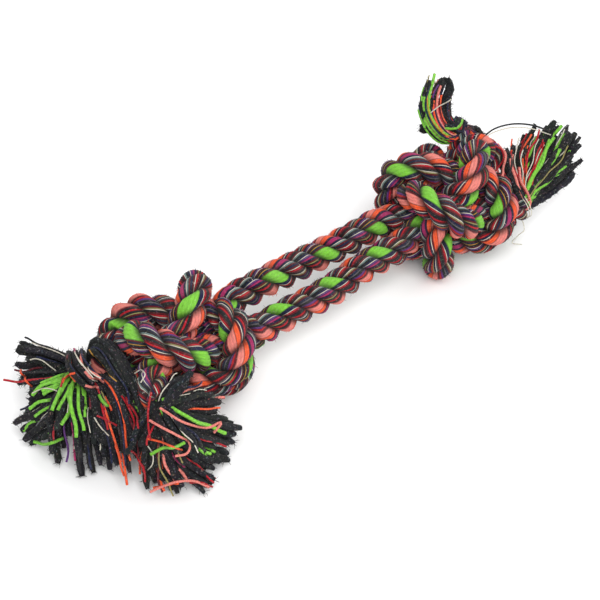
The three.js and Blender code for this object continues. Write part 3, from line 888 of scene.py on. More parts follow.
# The locks that a tassel falls into: its core yarns, half its width at the tip, the places that it passes
# and its tip, from the knot's centre, in rope diameters, and the letters of its cover yarns
LOCKS = {
    "near_left": (
        (8, 0.42, ((-3.09, 1.95, -0.2), (-3.92, 3.23, -0.2)), "NWC"),
        (7, 0.36, ((-3.34, 1.69, -0.35), (-4.46, 2.97, -0.9)), "NRCDW"),
        (6, 0.34, ((-3.57, 1.2, -0.3), (-4.55, 1.54, -0.7)), "LLLLLLLW"),
        (8, 0.42, ((-3.76, 1.07, -0.6), (-4.94, 1.73, -1.5)), "LLWWNY"),
        (6, 0.34, ((-3.93, 0.7, -0.7), (-5.01, 1.09, -1.6)), "LYWN"),
        (7, 0.34, ((-3.85, 0.78, -0.5), (-4.6, -0.16, -1.75)), "NPRC"),
        (8, 0.4, ((-3.51, 0.23, -0.1), (-4.15, -1.04, -1.7)), "CNCCNCCCWM"),
        (7, 0.38, ((-3.16, -0.25, 0.1), (-3.59, -1.67, -1.6)), "OORNW"),
        (8, 0.42, ((-2.6, -0.52, 0.4), (-3.21, -2.44, -1.6)), "RRRDOONO"),
        (9, 0.36, ((-2.23, 0.97, 0.8), (-2.27, -0.6, 0.6), (-2.55, -1.6, -0.1)), "NCN"),
        (4, 0.28, ((-2.85, 1.38, 0.5), (-3.26, 0.44, 0.9), (-3.02, -0.1, 0.5)), "DSNWMDNO"),
        (8, 0.5, ((-3.06, 0.01, 0.1), (-3.52, -1.0, -0.7)), "WKRDW"),
        (7, 0.45, ((-3.53, 0.75, -0.1), (-4.36, 0.25, -0.8)), "LLLLLLWY"),
        (3, 0.36, ((-3.51, 0.33, 0.0), (-4.0, -0.62, -0.75)), "LLLLLLLWN"),
    ),
    "near_right": (
        (5, 0.28, ((-1.64, -2.03, 1.1), (-0.83, -1.77, 1.0)), "WN"),
        (6, 0.3, ((-1.5, -2.21, 0.8), (-0.49, -2.16, 0.3)), "LSWN"),
        (8, 0.38, ((-1.45, -2.3, 0.4), (-0.15, -2.46, -0.5)), "SSON"),
        (8, 0.42, ((-1.54, -2.5, 0.1), (-0.19, -2.79, -1.2)), "NCL"),
        (9, 0.42, ((-1.72, -2.63, -0.2), (-0.38, -2.97, -1.65)), "TNRL"),
        (8, 0.4, ((-1.99, -2.69, -0.4), (-1.1, -3.33, -1.7)), "OLLN"),
        (8, 0.34, ((-2.22, -2.69, -0.6), (-1.59, -3.7, -1.75)), "RRRMMS"),
        (8, 0.38, ((-2.45, -2.51, -0.6), (-2.47, -3.35, -1.75)), "SSOSKO"),
        (7, 0.36, ((-2.61, -2.3, -0.4), (-3.04, -2.71, -1.75)), "ODRO"),
        (8, 0.5, ((-2.06, -2.54, 0.25), (-1.77, -3.21, -0.8)), "ONWK"),
        (6, 0.4, ((-2.55, -2.0, 0.1), (-2.96, -2.11, -0.6)), "RNR"),
    ),
    "far_upper": (
        (
            2, 0.2, (
                (1.27, 1.42, 1.5), (0.92, 1.71, 1.8), (0.91, 2.1, 2.2), (1.03, 2.33, 2.6),
                (1.33, 2.49, 2.95), (1.57, 2.64, 3.25),
            ),
            "LNLGLKLNGLRLKLGLKP",
        ),
        (
            2, 0.16, (
                (1.43, 1.3, 1.5), (1.14, 1.61, 1.8), (1.15, 1.92, 2.2), (1.34, 2.16, 2.55),
                (1.64, 2.27, 2.85), (1.82, 2.26, 3.15),
            ),
            "SNORPOMNSRDOPN",
        ),
        (
            8, 0.22, (
                (1.61, 1.29, 1.5), (1.45, 1.58, 1.8), (1.52, 1.85, 2.1), (1.75, 2.05, 2.4),
                (1.97, 2.12, 2.7), (1.98, 2.26, 2.95),
            ),
            "SOCNRC",
        ),
        (5, 0.3, ((2.12, 1.51, 1.1), (2.6, 1.59, 0.8), (3.0, 1.5, 0.5)), "DN"),
        (3, 0.2, ((1.46, 1.31, 1.7), (0.98, 1.83, 1.65), (0.8, 2.15, 1.5)), "LNL"),
    ),
    "far_right": (
        (6, 0.3, ((3.06, -0.52, -0.2), (3.56, 0.11, 0.2), (4.3, 0.55, 0.6)), "OOSWWOOW"),
        (8, 0.36, ((3.3, -0.57, -0.2), (4.09, -0.03, 0.2), (4.95, 0.45, 0.65)), "RRRRWRRW"),
        (8, 0.36, ((3.43, -0.74, -0.25), (4.42, -0.29, 0.2), (5.49, 0.1, 0.7)), "CLLWLLYL"),
        (9, 0.36, ((3.49, -0.9, -0.35), (4.46, -0.71, 0.1), (5.55, -0.49, 0.65)), "LLWLKL"),
        (9, 0.34, ((3.55, -1.0, -0.5), (4.53, -1.01, -0.1), (5.42, -1.1, 0.4)), "CWL"),
        (8, 0.34, ((3.5, -1.07, -0.65), (4.25, -1.16, -0.4), (5.05, -1.08, -0.1)), "LC"),
        (4, 0.3, ((2.39, -0.82, 0.2), (2.62, -0.16, 0.7), (2.82, 0.32, 0.9)), "SRCSSR"),
    ),
}

# Single loose yarns: the knot, the yarn's letter, and the places that it passes, as above
CURLS = (
    (
        "near", "S", (
            (-2.18, -2.17, 0.9), (-1.8, -2.91, 0.6), (-1.16, -2.98, 0.0), (-0.41, -2.71, -0.5),
            (-0.53, -2.53, -1.0),
        ),
    ),
    (
        "near", "S", (
            (-2.5, -2.07, 0.5), (-2.07, -2.76, 0.2), (-1.71, -2.91, -0.3), (-1.89, -3.05, -0.5),
            (-2.23, -2.92, -0.5),
        ),
    ),
    ("near", "L", ((-2.91, -2.59, -0.3), (-2.51, -2.68, -0.2), (-2.12, -2.78, -0.3), (-1.78, -2.81, -0.3))),
    ("near", "W", ((-3.05, -2.65, 0.2), (-3.03, -2.85, 0.0), (-3.12, -2.94, -0.3), (-3.24, -2.83, -0.6))),
    ("near", "W", ((-2.08, -0.69, 1.0), (-1.88, -0.76, 1.1), (-1.85, -0.99, 1.1), (-2.03, -1.02, 0.9))),
    ("near", "O", ((-2.97, -2.55, 0.4), (-2.72, -2.79, 0.3), (-2.42, -2.95, 0.1), (-2.11, -3.08, -0.2))),
    ("near", "R", ((-2.06, -1.6, 1.0), (-2.35, -1.84, 0.8), (-2.58, -2.1, 0.5), (-2.8, -2.48, 0.2))),
    ("near", "R", ((-2.74, -0.94, 0.7), (-2.81, -1.36, 0.6), (-2.87, -1.68, 0.4), (-2.95, -1.88, 0.2))),
    ("near", "R", ((-2.69, -1.07, 0.7), (-2.76, -1.49, 0.6), (-2.78, -1.8, 0.4), (-2.8, -1.91, 0.2))),
    ("near", "O", ((-3.46, -1.53, -0.5), (-3.5, -1.77, -0.8), (-3.55, -1.91, -1.1), (-3.54, -2.0, -1.4))),
    ("near", "O", ((-4.39, 2.38, 0.0), (-4.45, 2.12, 0.0), (-4.48, 1.83, 0.0), (-4.47, 1.69, -0.1))),
    ("near", "R", ((-3.21, -2.02, -0.4), (-3.18, -2.32, -0.6), (-3.13, -2.53, -0.9), (-3.21, -2.64, -1.3))),
    ("near", "N", ((-2.79, 0.06, 1.0), (-2.71, -0.24, 0.95), (-2.66, -0.57, 0.85))),
    ("near", "R", ((-3.58, -0.83, 0.3), (-3.44, -1.02, 0.2), (-3.29, -1.37, 0.1))),
    ("near", "W", ((-3.69, -0.84, 0.3), (-3.66, -1.08, 0.1), (-3.61, -1.4, -0.1))),
    (
        "near", "S", (
            (-3.26, -2.97, -1.4), (-2.84, -3.02, -1.4), (-2.36, -3.12, -1.4), (-1.9, -3.38, -1.5),
            (-1.62, -3.69, -1.7),
        ),
    ),
    ("near", "R", ((-2.08, -3.33, -1.5), (-1.73, -3.55, -1.55), (-1.59, -3.75, -1.75))),
    ("near", "O", ((-3.15, -2.92, -1.4), (-2.76, -3.08, -1.35), (-2.35, -3.21, -1.4))),
    ("near", "W", ((-3.16, 0.31, 1.3), (-3.19, 0.04, 1.25), (-3.16, -0.17, 1.2), (-3.07, -0.34, 1.15))),
    ("near", "S", ((-3.28, 0.12, 1.2), (-3.28, -0.12, 1.15), (-3.2, -0.32, 1.1), (-3.07, -0.42, 1.0))),
    ("near", "S", ((-3.5, -0.18, 1.0), (-3.38, -0.31, 0.95), (-3.25, -0.41, 0.9))),
    ("near", "O", ((-3.9, 0.56, 0.7), (-3.79, 0.61, 0.8), (-3.6, 0.56, 0.9), (-3.41, 0.4, 1.0))),
    ("near", "R", ((-3.97, 0.53, 0.6), (-3.86, 0.63, 0.7), (-3.75, 0.79, 0.75))),
    (
        "near", "W", (
            (-3.95, 2.37, 0.2), (-3.78, 2.3, 0.2), (-3.66, 2.1, 0.2), (-3.62, 1.81, 0.2),
            (-3.66, 1.43, 0.3),
        ),
    ),
    ("near", "W", ((-4.36, 1.57, -0.3), (-4.05, 1.35, -0.1), (-3.87, 0.85, 0.1))),
    ("near", "L", ((-3.29, -0.5, 0.7), (-3.29, -0.69, 0.6), (-3.24, -0.87, 0.5))),
    ("near", "L", ((-5.08, 0.69, -1.3), (-4.91, 0.36, -1.2), (-4.7, 0.09, -1.0), (-4.52, -0.11, -0.8))),
    ("near", "G", ((-2.57, 1.02, 0.9), (-2.69, 0.38, 1.0), (-2.74, -0.08, 1.0), (-2.63, -0.55, 0.9))),
    ("near", "W", ((-2.88, 1.06, 0.8), (-3.03, 0.46, 0.9), (-3.07, 0.1, 0.8), (-2.98, 0.05, 0.6))),
    ("far", "R", ((2.53, 0.41, 0.9), (2.61, 0.07, 1.0), (2.4, -0.28, 0.9), (1.93, -0.4, 0.7))),
    ("far", "C", ((2.19, -0.7, 0.5), (2.57, -0.51, 0.7), (2.81, -0.14, 0.9), (2.59, 0.09, 1.0))),
    ("far", "S", ((1.86, -0.73, 0.7), (2.25, -0.48, 0.85), (2.58, -0.17, 1.0), (2.75, 0.36, 1.0))),
    ("far", "W", ((0.79, 1.73, 2.5), (1.1, 1.65, 2.7), (1.42, 1.57, 2.8), (1.57, 1.59, 2.8))),
)
# Loose yarns that start inside a knot and arch over, to lie on the toy at their far end only
ARCHES = (
    (
        "far", "C", (
            (2.37, 0.97, 0.7), (2.67, 1.06, 0.8), (3.18, 1.03, 1.0), (3.77, 0.76, 1.1),
            (4.37, 0.38, 1.0), (4.82, -0.08, 0.8),
        ),
    ),
    (
        "far", "W", (
            (2.37, 0.97, 0.7), (2.67, 0.97, 0.9), (3.15, 0.85, 1.05), (3.67, 0.56, 1.15),
            (4.21, 0.22, 1.05), (4.71, -0.28, 0.85),
        ),
    ),
)


class RopeToyTassels(bpy.types.PropertyGroup):
    """How the rope's ends fray."""

    core_thickness: length_of(
        "Core yarn thickness", "Diameter of a fluffy core yarn", 0.0040, min=0.001, max=0.006
    )
    cover_thickness: length_of(
        "Cover yarn thickness", "Diameter of a coloured yarn", 0.0013, min=0.0005, max=0.003
    )
    cover_spread: angle_of("Cover spread", "How far round a lock its cover yarns lie, from its top", 190)
    fibres_per_yarn: whole_number(
        "Fibres on a core yarn", "Short fibres that stand out of it", 100, min=0, max=200
    )
    thread_thickness: length_of("Tie thread", "Diameter of the tie thread", 0.0006, min=0.0003)
    thread_radius: length_of("Tie radius", "From the tail's middle to the thread", 0.0101, min=0.005)
    thread_turns: number_of(
        "Turns of thread", "How often the thread goes round the tail", 2.4, min=1, max=10
    )
    fibre_length: length_of("Fibre length", "Length of the longest fibre", 0.0032, min=0.001, max=0.01)


# A lock's middle line: where it starts in the rope's end and how far it goes on past its tip, in rope
# diameters, its step in metres, and the steps of its end in which it may be cut
LOCK_ROOTS = (-0.8, -0.3, 0.2)
LOCK_BEYOND = 0.15
LOCK_STEP = 0.001
LOCK_CUT_STEPS = 10


def lock_middle(tail_end, direction, places):
    """A lock's middle line: out of the rope's end, then smoothly through its places, and a little beyond
    its tip. The curve swings past its last point and turns back, so its last centimetre is cut where that
    is furthest along the tip's heading."""
    inside = tail_end + direction * np.array(LOCK_ROOTS)[:, None] * ROPE
    beyond = places[-1:] + unit(places[-1:] - places[-2:-1]) * LOCK_BEYOND * ROPE
    line = smooth_line(np.vstack([inside, places, beyond]), LOCK_STEP)
    last = line[-LOCK_CUT_STEPS:] @ (places[-1] - places[-2])
    return line[: len(line) - LOCK_CUT_STEPS + np.argmax(last) + 1]


# A yarn in a lock: its sections, the share of it that the rope's end holds, how soon after that it leaves
# the side of the rope's end that its lock makes for, and the waves of its sway
YARN_SECTIONS = 26
HELD_SHARE = 0.18
LEAVE_RATE = 2.5
SWAY_WAVES = 1.4


def lock_lines(middle, aim, tip_radius, disc, reach, rng, sway, gather, knot_radius, shown=1.0):
    """The lines of a lock's yarns, [yarn, step, xyz]. A yarn keeps its place in a disc that is carried
    along the lock's middle line. The disc starts off centre in the rope's end, on the side that the lock
    makes for, and grows to the lock's own width with the square root of the way, or draws in again by
    gather x the square of the way. Soft noise moves each yarn more towards its tip."""
    _, normal, side = carried_frames(middle)
    count = len(disc)
    share = reach[:, None] * np.linspace(0, 1, YARN_SECTIONS)
    points, across, up = (taken_at(share, middle, values) for values in (middle, normal, side))
    free = np.clip((share - HELD_SHARE) / (1 - HELD_SHARE), 0, 1)[..., None]
    radius = (knot_radius + (tip_radius - knot_radius) * np.sqrt(free)) * (1 - gather * free**2)
    start = (aim @ np.stack([normal[0], side[0]]).T) * (1 - np.clip(free * LEAVE_RATE, 0, 1))
    noise = np.stack([ripple(share * SWAY_WAVES, rng.random((count, 1))) for _ in range(2)], -1)
    aside = disc[:, None] * radius * (shown + (1 - shown) * free) + start + noise * sway * free
    return points + aside[..., :1] * across + aside[..., 1:] * up


# Yarns that lie on the floor: their least height above it, and the depth D over which they heap, in metres
FLOOR_ROOM = 0.0004
HEAP_DEPTH = 0.01


def on_floor(points, radius, heap):
    """Points that would sink to a depth d under the floor lie on it, higher by heap x (1 - e^(-d / D))."""
    least = radius + FLOOR_ROOM
    sunk = np.maximum(least - points[..., 2], 0)
    points[..., 2] = np.maximum(points[..., 2], least) + heap * (1 - np.exp(-sunk / HEAP_DEPTH))
    return points


def disc_places(count):
    """Places spread evenly over a disc of radius 1, by the golden angle."""
    n = np.arange(count)
    radius = np.sqrt((n + 0.5) / count)
    return np.stack([radius * np.cos(n * GOLDEN), radius * np.sin(n * GOLDEN)], axis=1)


def fuzz(grids, lines, colours, per_yarn, length, rng):
    """Short fibres that stand out of round yarns, each from a point of a yarn's rings first outwards and
    then forwards. Returns their sections and their colours."""
    count, rings, columns, _ = grids.shape
    yarn = np.repeat(np.arange(count), per_yarn)
    ring = rng.integers(3, rings, len(yarn))
    root = grids[yarn, ring, rng.integers(0, columns, len(yarn))]
    out = unit(root - lines[yarn, ring])
    along = unit(lines[yarn, ring] - lines[yarn, ring - 1])
    reach = length * (0.3 + 0.7 * rng.random(len(yarn)) ** 2)[:, None]
    lean = unit(rng.normal(size=(len(yarn), 3)))
    first = unit(out + 0.6 * along + 0.5 * lean) * reach * 0.55
    second = unit(out * 0.5 + 0.8 * along + 0.9 * lean) * reach * 0.5
    hairs = fibre_tubes(root, out, 0.0004, first, second, FUZZ_RADII)
    return hairs, colours[yarn] * [FUZZ_SHINE, FUZZ_SHINE, FUZZ_SHINE, 1]


# How a lock's yarns start, in metres: how far to its own side the lock leaves the rope's end, and how far
# out its core yarns and its cover yarns lie there
LOCK_AIM = 0.0058
CORE_START = 0.0036
COVER_START = 0.0055
# A yarn's least length as a share of its lock, and how much more it may be
CORE_REACH, CORE_REACH_MORE = 0.76, 0.23
COVER_REACH, COVER_REACH_MORE = 0.66, 0.3
# How far yarns sway, how high they heap, and how far outside the core the covers lie, all in metres
CORE_SWAY, CORE_HEAP = 0.0016, 0.006
COVER_SWAY, COVER_HEAP = 0.0026, 0.009
COVER_OUT = 0.0022
# A cover yarn's place as a share of its lock's radius: the least, and how much more it may be
COVER_PLACE, COVER_PLACE_MORE = 0.7, 0.35


def tassel_yarns(name, scene, rng):
    """The lines of a tassel's core yarns and of its cover yarns, and the cover yarns' letters."""
    sizes = scene.rope_toy_tassels
    knot, rope, gather, shown = TASSELS[name]
    line, _ = whole_rope(rope, scene.rope_toy_sizes.ring_step)
    line = line[::-1] if knot == "near" else line
    direction = unit(line[-1] - line[-3])
    cores, covers, letters = [], [], ""
    for count, width, places, row in LOCKS[name]:
        places = np.array(CENTRES[knot]) + np.array(places) * ROPE
        middle = lock_middle(line[-1], direction, places)
        aside = places[0] - line[-1] - direction * ((places[0] - line[-1]) @ direction)
        aim = aside / (np.linalg.norm(aside) + 0.5 * ROPE) * LOCK_AIM
        reach = CORE_REACH + CORE_REACH_MORE * rng.random(count)
        disc = disc_places(count)
        cores.append(lock_lines(middle, aim, width * ROPE, disc, reach, rng, CORE_SWAY, gather, CORE_START))

        _, normal, side = carried_frames(middle)
        high = len(middle) * 2 // 3
        top = math.atan2(side[high, 2], normal[high, 2])
        angle = top + ((np.arange(len(row)) + rng.random(len(row))) / len(row) - 0.5) * sizes.cover_spread
        out = COVER_PLACE + COVER_PLACE_MORE * rng.random((len(row), 1))
        ring = np.stack([np.cos(angle), np.sin(angle)], axis=1) * out
        reach = COVER_REACH + COVER_REACH_MORE * rng.random(len(row))
        seen = np.array([shown if letter != "L" else 1.0 for letter in row])[:, None, None]
        radius, sway = width * ROPE + COVER_OUT, COVER_SWAY * (1 - gather)
        covers.append(lock_lines(middle, aim, radius, ring, reach, rng, sway, gather, COVER_START, seen))
        letters += row
    cores = on_floor(np.concatenate(cores), sizes.core_thickness / 2, CORE_HEAP)
    covers = on_floor(np.concatenate(covers), sizes.cover_thickness / 2, COVER_HEAP)
    return cores, covers, letters


# Core yarns: sides, lumps and roughness as shares of their thickness, the least share of charcoal's own
# lightness and how much more it may be, how far their hues differ, and their run in the UV map
CORE_SIDES = 8
CORE_LUMPS, CORE_LUMP_WAVES = 0.2, 7
CORE_ROUGH = 0.3
CORE_DARK, CORE_DARK_MORE = 0.35, 0.5
CORE_HUES = 0.5
CORE_RUN = 25
# Cover yarns: sides, their run in the UV map, and the power of a letter's width that gives thickness
COVER_SIDES = 6
COVER_RUN = 30
COVER_POWER = 0.7
TASSEL_SEED = 100


def place_core_yarns(name, cores, sizes, rng):
    """A tassel's core yarns and their fluff. A yarn is thinner in the rope's end and at its tip, lumpy
    between them, and its sections are rough."""
    fluffy = cotton("Fluffy core yarn")
    count = len(cores)
    at = np.linspace(0, 1, YARN_SECTIONS)
    lumps = 1 + CORE_LUMPS * ripple(at * CORE_LUMP_WAVES, rng.random((count, 1)))
    ease = np.clip(at * 2.2 + 0.35, 0, 1) * np.clip((1 - at) * 12 + 0.7, 0, 1)
    radii = sizes.core_thickness / 2 * lumps * ease * (0.8 + 0.4 * rng.random((count, 1)))
    grids = round_rings(cores, radii, CORE_SIDES)
    rough = 1 + CORE_ROUGH * (rng.random(grids.shape[:3] + (1,)) - 0.5)
    grids = cores[:, :, None] + (grids - cores[:, :, None]) * rough
    grids[..., 2] = np.maximum(grids[..., 2], YARN_FLOOR)
    dark = yarn_colours("C" * count) * (CORE_DARK + CORE_DARK_MORE * rng.random((count, 1)))
    dark[:, :3] *= 1 + CORE_HUES * (rng.random((count, 3)) - 0.5)
    dark[:, 3] = 1
    title = f"fluffy_{name}_yarns"
    core = place(title, tube_mesh(title, grids, dark, 1 / CORE_SIDES, at * CORE_RUN, fluffy))
    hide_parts(f"{name}_tassel")
    hairs, shades = fuzz(grids, cores, dark, sizes.fibres_per_yarn, sizes.fibre_length, rng)
    title = f"fluff_{name}"
    place(title, tube_mesh(title, hairs, shades, 1 / 3, np.arange(3), fluffy))


def place_cover_yarns(name, covers, letters, sizes, rng):
    """A tassel's coloured cover yarns, whose thickness follows their letters' widths."""
    thin = np.array([[WIDTHS.get(letter, 1.0) ** COVER_POWER] for letter in letters])
    radii = sizes.cover_thickness / 2 * thin * (0.85 + 0.3 * rng.random((len(covers), 1)))
    grids = round_rings(covers, radii * np.ones((1, YARN_SECTIONS)), COVER_SIDES)
    title = f"cover_{name}_yarns"
    run = np.linspace(0, 1, YARN_SECTIONS) * COVER_RUN
    mesh = tube_mesh(title, grids, yarn_colours(letters), 1 / COVER_SIDES, run, cotton("Loose cover yarn"))
    place(title, mesh)


class ROPETOY_OT_tassels(bpy.types.Operator):
    """Fray each rope's two ends into locks of fluffy core yarns and thin coloured cover yarns"""

    bl_idname = "rope_toy.tassels"
    bl_label = "Fray the tassels"

    def execute(self, context):
        sizes = context.scene.rope_toy_tassels
        for number, name in enumerate(TASSELS):
            rng = np.random.default_rng(TASSEL_SEED + number)
            cores, covers, letters = tassel_yarns(name, context.scene, rng)
            place_core_yarns(name, cores, sizes, rng)
            place_cover_yarns(name, covers, letters, sizes, rng)
        return {"FINISHED"}


def toy_tree(side):
    """What a loose yarn at one end of the toy can lie on, as a tree of triangles."""
    start = (f"{side}_rope_", f"fluffy_{side}_", f"cover_{side}_")
    meshes = [piece.data for piece in bpy.data.objects if piece.name.startswith(start)]
    vertices, faces = [], []
    for mesh in meshes:
        spots = np.empty(len(mesh.vertices) * 3)
        mesh.vertices.foreach_get("co", spots)
        mesh.calc_loop_triangles()
        corners = np.empty(len(mesh.loop_triangles) * 3, np.int32)
        mesh.loop_triangles.foreach_get("vertices", corners)
        faces.append(corners.reshape(-1, 3) + sum(len(part) for part in vertices))
        vertices.append(spots.reshape(-1, 3))
    return BVHTree.FromPolygons(np.vstack(vertices).tolist(), np.vstack(faces).tolist())


# A loose yarn is looked for on the toy from this far before it, and no further than this in all
RAY_BEFORE = 0.15
RAY_LENGTH = 0.4


def laid_on(tree, line, towards, lift, arched):
    """A line moved along one direction until it lies on the toy: by the toy's height over it in that
    direction, taken as the highest of each three neighbours and then smoothed, plus lift. An arched line
    starts where it is, inside the toy, and lies on it only at its far end."""
    heights = np.full(len(line), np.nan)
    for i, spot in enumerate(line):
        hit = tree.ray_cast(Vector(spot + towards * RAY_BEFORE), Vector(-towards), RAY_LENGTH)[0]
        if hit is not None:
            heights[i] = (np.array(hit) - spot) @ towards
    found = np.flatnonzero(~np.isnan(heights))
    if not len(found):
        raise ValueError("a loose yarn lies wholly beside the toy")
    heights = np.interp(np.arange(len(line)), found, heights[found])
    if arched:
        heights = np.linspace(0, heights[-1], len(line))
    padded = np.pad(heights, 1, mode="edge")
    heights = np.stack([padded[:-2], padded[1:-1], padded[2:]]).max(axis=0)
    for _ in range(3):
        padded = np.pad(heights, 1, mode="edge")
        heights = 0.25 * padded[:-2] + 0.5 * padded[1:-1] + 0.25 * padded[2:]
    return line + (heights + lift)[:, None] * towards


# Loose yarns: the places at which each is laid on the toy, its sections, how far it is lifted as a share of
# its thickness, the power of a letter's width that gives its thickness, and the step of its line in metres
LAID_POINTS = 24
CURL_SECTIONS = 40
CURL_LIFT = 0.3
CURL_POWER = 0.6
CURL_STEP = 0.0005


class ROPETOY_OT_curls(bpy.types.Operator):
    """Let single yarns curl loose over the tassels"""

    bl_idname = "rope_toy.curls"
    bl_label = "Loose yarns"

    def execute(self, context):
        sizes = context.scene.rope_toy_tassels
        spun = cotton("Loose cover yarn")
        at = np.linspace(0, 1, CURL_SECTIONS)
        towards = np.array(view_back(context.scene.rope_toy_stage))
        lift = sizes.cover_thickness * CURL_LIFT
        for side, centre in CENTRES.items():
            tree = toy_tree(side)
            rows = [row for row in ARCHES + CURLS if row[0] == side]
            lines = []
            for row in rows:
                line = smooth_line(centre + np.array(row[2]) * ROPE, CURL_STEP)
                line = taken_at(np.linspace(0, 1, LAID_POINTS), line)
                line = laid_on(tree, line, towards, lift, row in ARCHES)
                lines.append(taken_at(at, smooth_line(line, CURL_STEP)))
            letters = [row[1] for row in rows]
            thin = np.array([[WIDTHS.get(letter, 1.0) ** CURL_POWER] for letter in letters])
            radii = sizes.cover_thickness * 0.5 * thin * np.ones((1, CURL_SECTIONS))
            title = f"loose_{side}_yarns"
            grids = round_rings(np.stack(lines), radii, COVER_SIDES)
            mesh = tube_mesh(title, grids, yarn_colours(letters), 1 / COVER_SIDES, at * COVER_RUN, spun)
            place(title, mesh)
        return {"FINISHED"}


# The loose end of the thread, from the far knot's centre in rope diameters, after its turns round the tail
THREAD_END = ((2.2, -1.8, -1.0), (2.19, -1.6, -1.5), (2.06, -1.48, -1.88), (2.31, -1.72, -1.93))
# The thread's sections in all and in its turns, the steps of its line and of the rope's in metres, its
# sides, its turns' pitch in thicknesses, how far back from the tail's end they start, and its UV run
THREAD_SECTIONS = 220
TURN_SECTIONS = 60
THREAD_STEP = 0.0003
TAIL_STEP = 0.0005
THREAD_SIDES = 8
THREAD_PITCH = 3
THREAD_BACK = 0.0015
THREAD_RUN = 90


class ROPETOY_OT_thread(bpy.types.Operator):
    """Tie a thin pale thread round the end of the far right tail"""

    bl_idname = "rope_toy.thread"
    bl_label = "Tie the thread"

    def execute(self, context):
        sizes = context.scene.rope_toy_tassels
        line, _ = whole_rope("a", TAIL_STEP)
        tangent, normal, side = (part[-1] for part in carried_frames(line))
        turn = np.linspace(0, sizes.thread_turns, TURN_SECTIONS)[:, None]
        spoke = normal * np.cos(turn * TURN) + side * np.sin(turn * TURN)
        forwards = tangent * (turn * sizes.thread_thickness * THREAD_PITCH - THREAD_BACK)
        wound = line[-1] + forwards + spoke * sizes.thread_radius
        loose = np.array(CENTRES["far"]) + np.array(THREAD_END) * ROPE
        path = smooth_line(np.vstack([wound, loose]), THREAD_STEP)
        path = taken_at(np.linspace(0, 1, THREAD_SECTIONS), path)[None]
        path[..., 2] = np.maximum(path[..., 2], sizes.thread_thickness)
        radii = np.full((1, THREAD_SECTIONS), sizes.thread_thickness / 2)
        rings = round_rings(path, radii, THREAD_SIDES)
        run = np.linspace(0, THREAD_RUN, THREAD_SECTIONS)
        spun = cotton("Tie thread")
        mesh = tube_mesh("tie_thread", rings, yarn_colours("W"), 1 / THREAD_SIDES, run, spun)
        place("tie_thread", mesh)
        return {"FINISHED"}


# The stage


class RopeToyStage(bpy.types.PropertyGroup):
    """The camera and the light."""

    azimuth: angle_of("Azimuth", "The camera's way round the toy", -38)
    elevation: angle_of("Elevation", "The camera's height above the horizon", 46)
    distance: length_of("Distance", "From the camera to its target", 1.031, min=0.1)
    target: bpy.props.FloatVectorProperty(
        name="Target",
        description="What the camera looks at",
        size=3,
        default=(-0.0016, 0.0199, 0.0115),
        unit="LENGTH",
    )
    lens: number_of("Lens", "Focal length in millimetres", 93.6, min=10)
    lamp_power: number_of("Key lamp", "Power of the large soft lamp above, in watts", 11.0, min=0)
    sky: number_of("Sky", "Strength of the even light all round", 0.45, min=0)


def view_back(stage):
    """The direction from the toy to the camera."""
    level = math.cos(stage.elevation)
    away = -math.cos(stage.azimuth) * level
    return Vector((math.sin(stage.azimuth) * level, away, math.sin(stage.elevation)))


class ROPETOY_OT_camera(bpy.types.Operator):
    """Put the camera at the angle from which the toy is shown"""

    bl_idname = "rope_toy.camera"
    bl_label = "Place the camera"

    def execute(self, context):
        stage = context.scene.rope_toy_stage
        data = bpy.data.cameras.new("Camera")
        data.lens = stage.lens
        data.sensor_width = 36
        data.clip_start, data.clip_end = 0.01, 20
        camera = bpy.data.objects.new("Camera", data)
        context.scene.collection.objects.link(camera)
        back = view_back(stage)
        camera.location = Vector(stage.target) + back * stage.distance
        camera.rotation_mode = "QUATERNION"
        camera.rotation_quaternion = (-back).to_track_quat("-Z", "Y")
        context.scene.camera = camera
        return {"FINISHED"}


def seen_directly(tree):
    """1 on camera, glossy and transmission rays, and 0 on the rays that carry light."""
    path = tree.nodes.new("ShaderNodeLightPath")
    seen = math_node(tree, "MAXIMUM", path.outputs["Is Camera Ray"], path.outputs["Is Glossy Ray"])
    return math_node(tree, "MAXIMUM", seen, path.outputs["Is Transmission Ray"])


# The floor's corners, its colour, and how far from the middle it starts and ends to turn to seen white
FLOOR = ((-3, -3, 0), (3, -3, 0), (3, 3, 0), (-3, 3, 0))
PAPER = (0.93, 0.93, 0.93, 1)
WHITE_FROM = 0.4
WHITE_TO = 0.75
WHITE = (1, 1, 1, 1)
# The lamps: name, place, width, and power as a share of the key lamp's
LAMPS = (
    ("key", (-0.35, -0.55, 0.95), 0.7, 1.0),
    ("fill", (0.8, -0.35, 0.6), 0.9, 0.45),
    ("rim", (0.1, 0.9, 0.7), 0.6, 0.35),
)


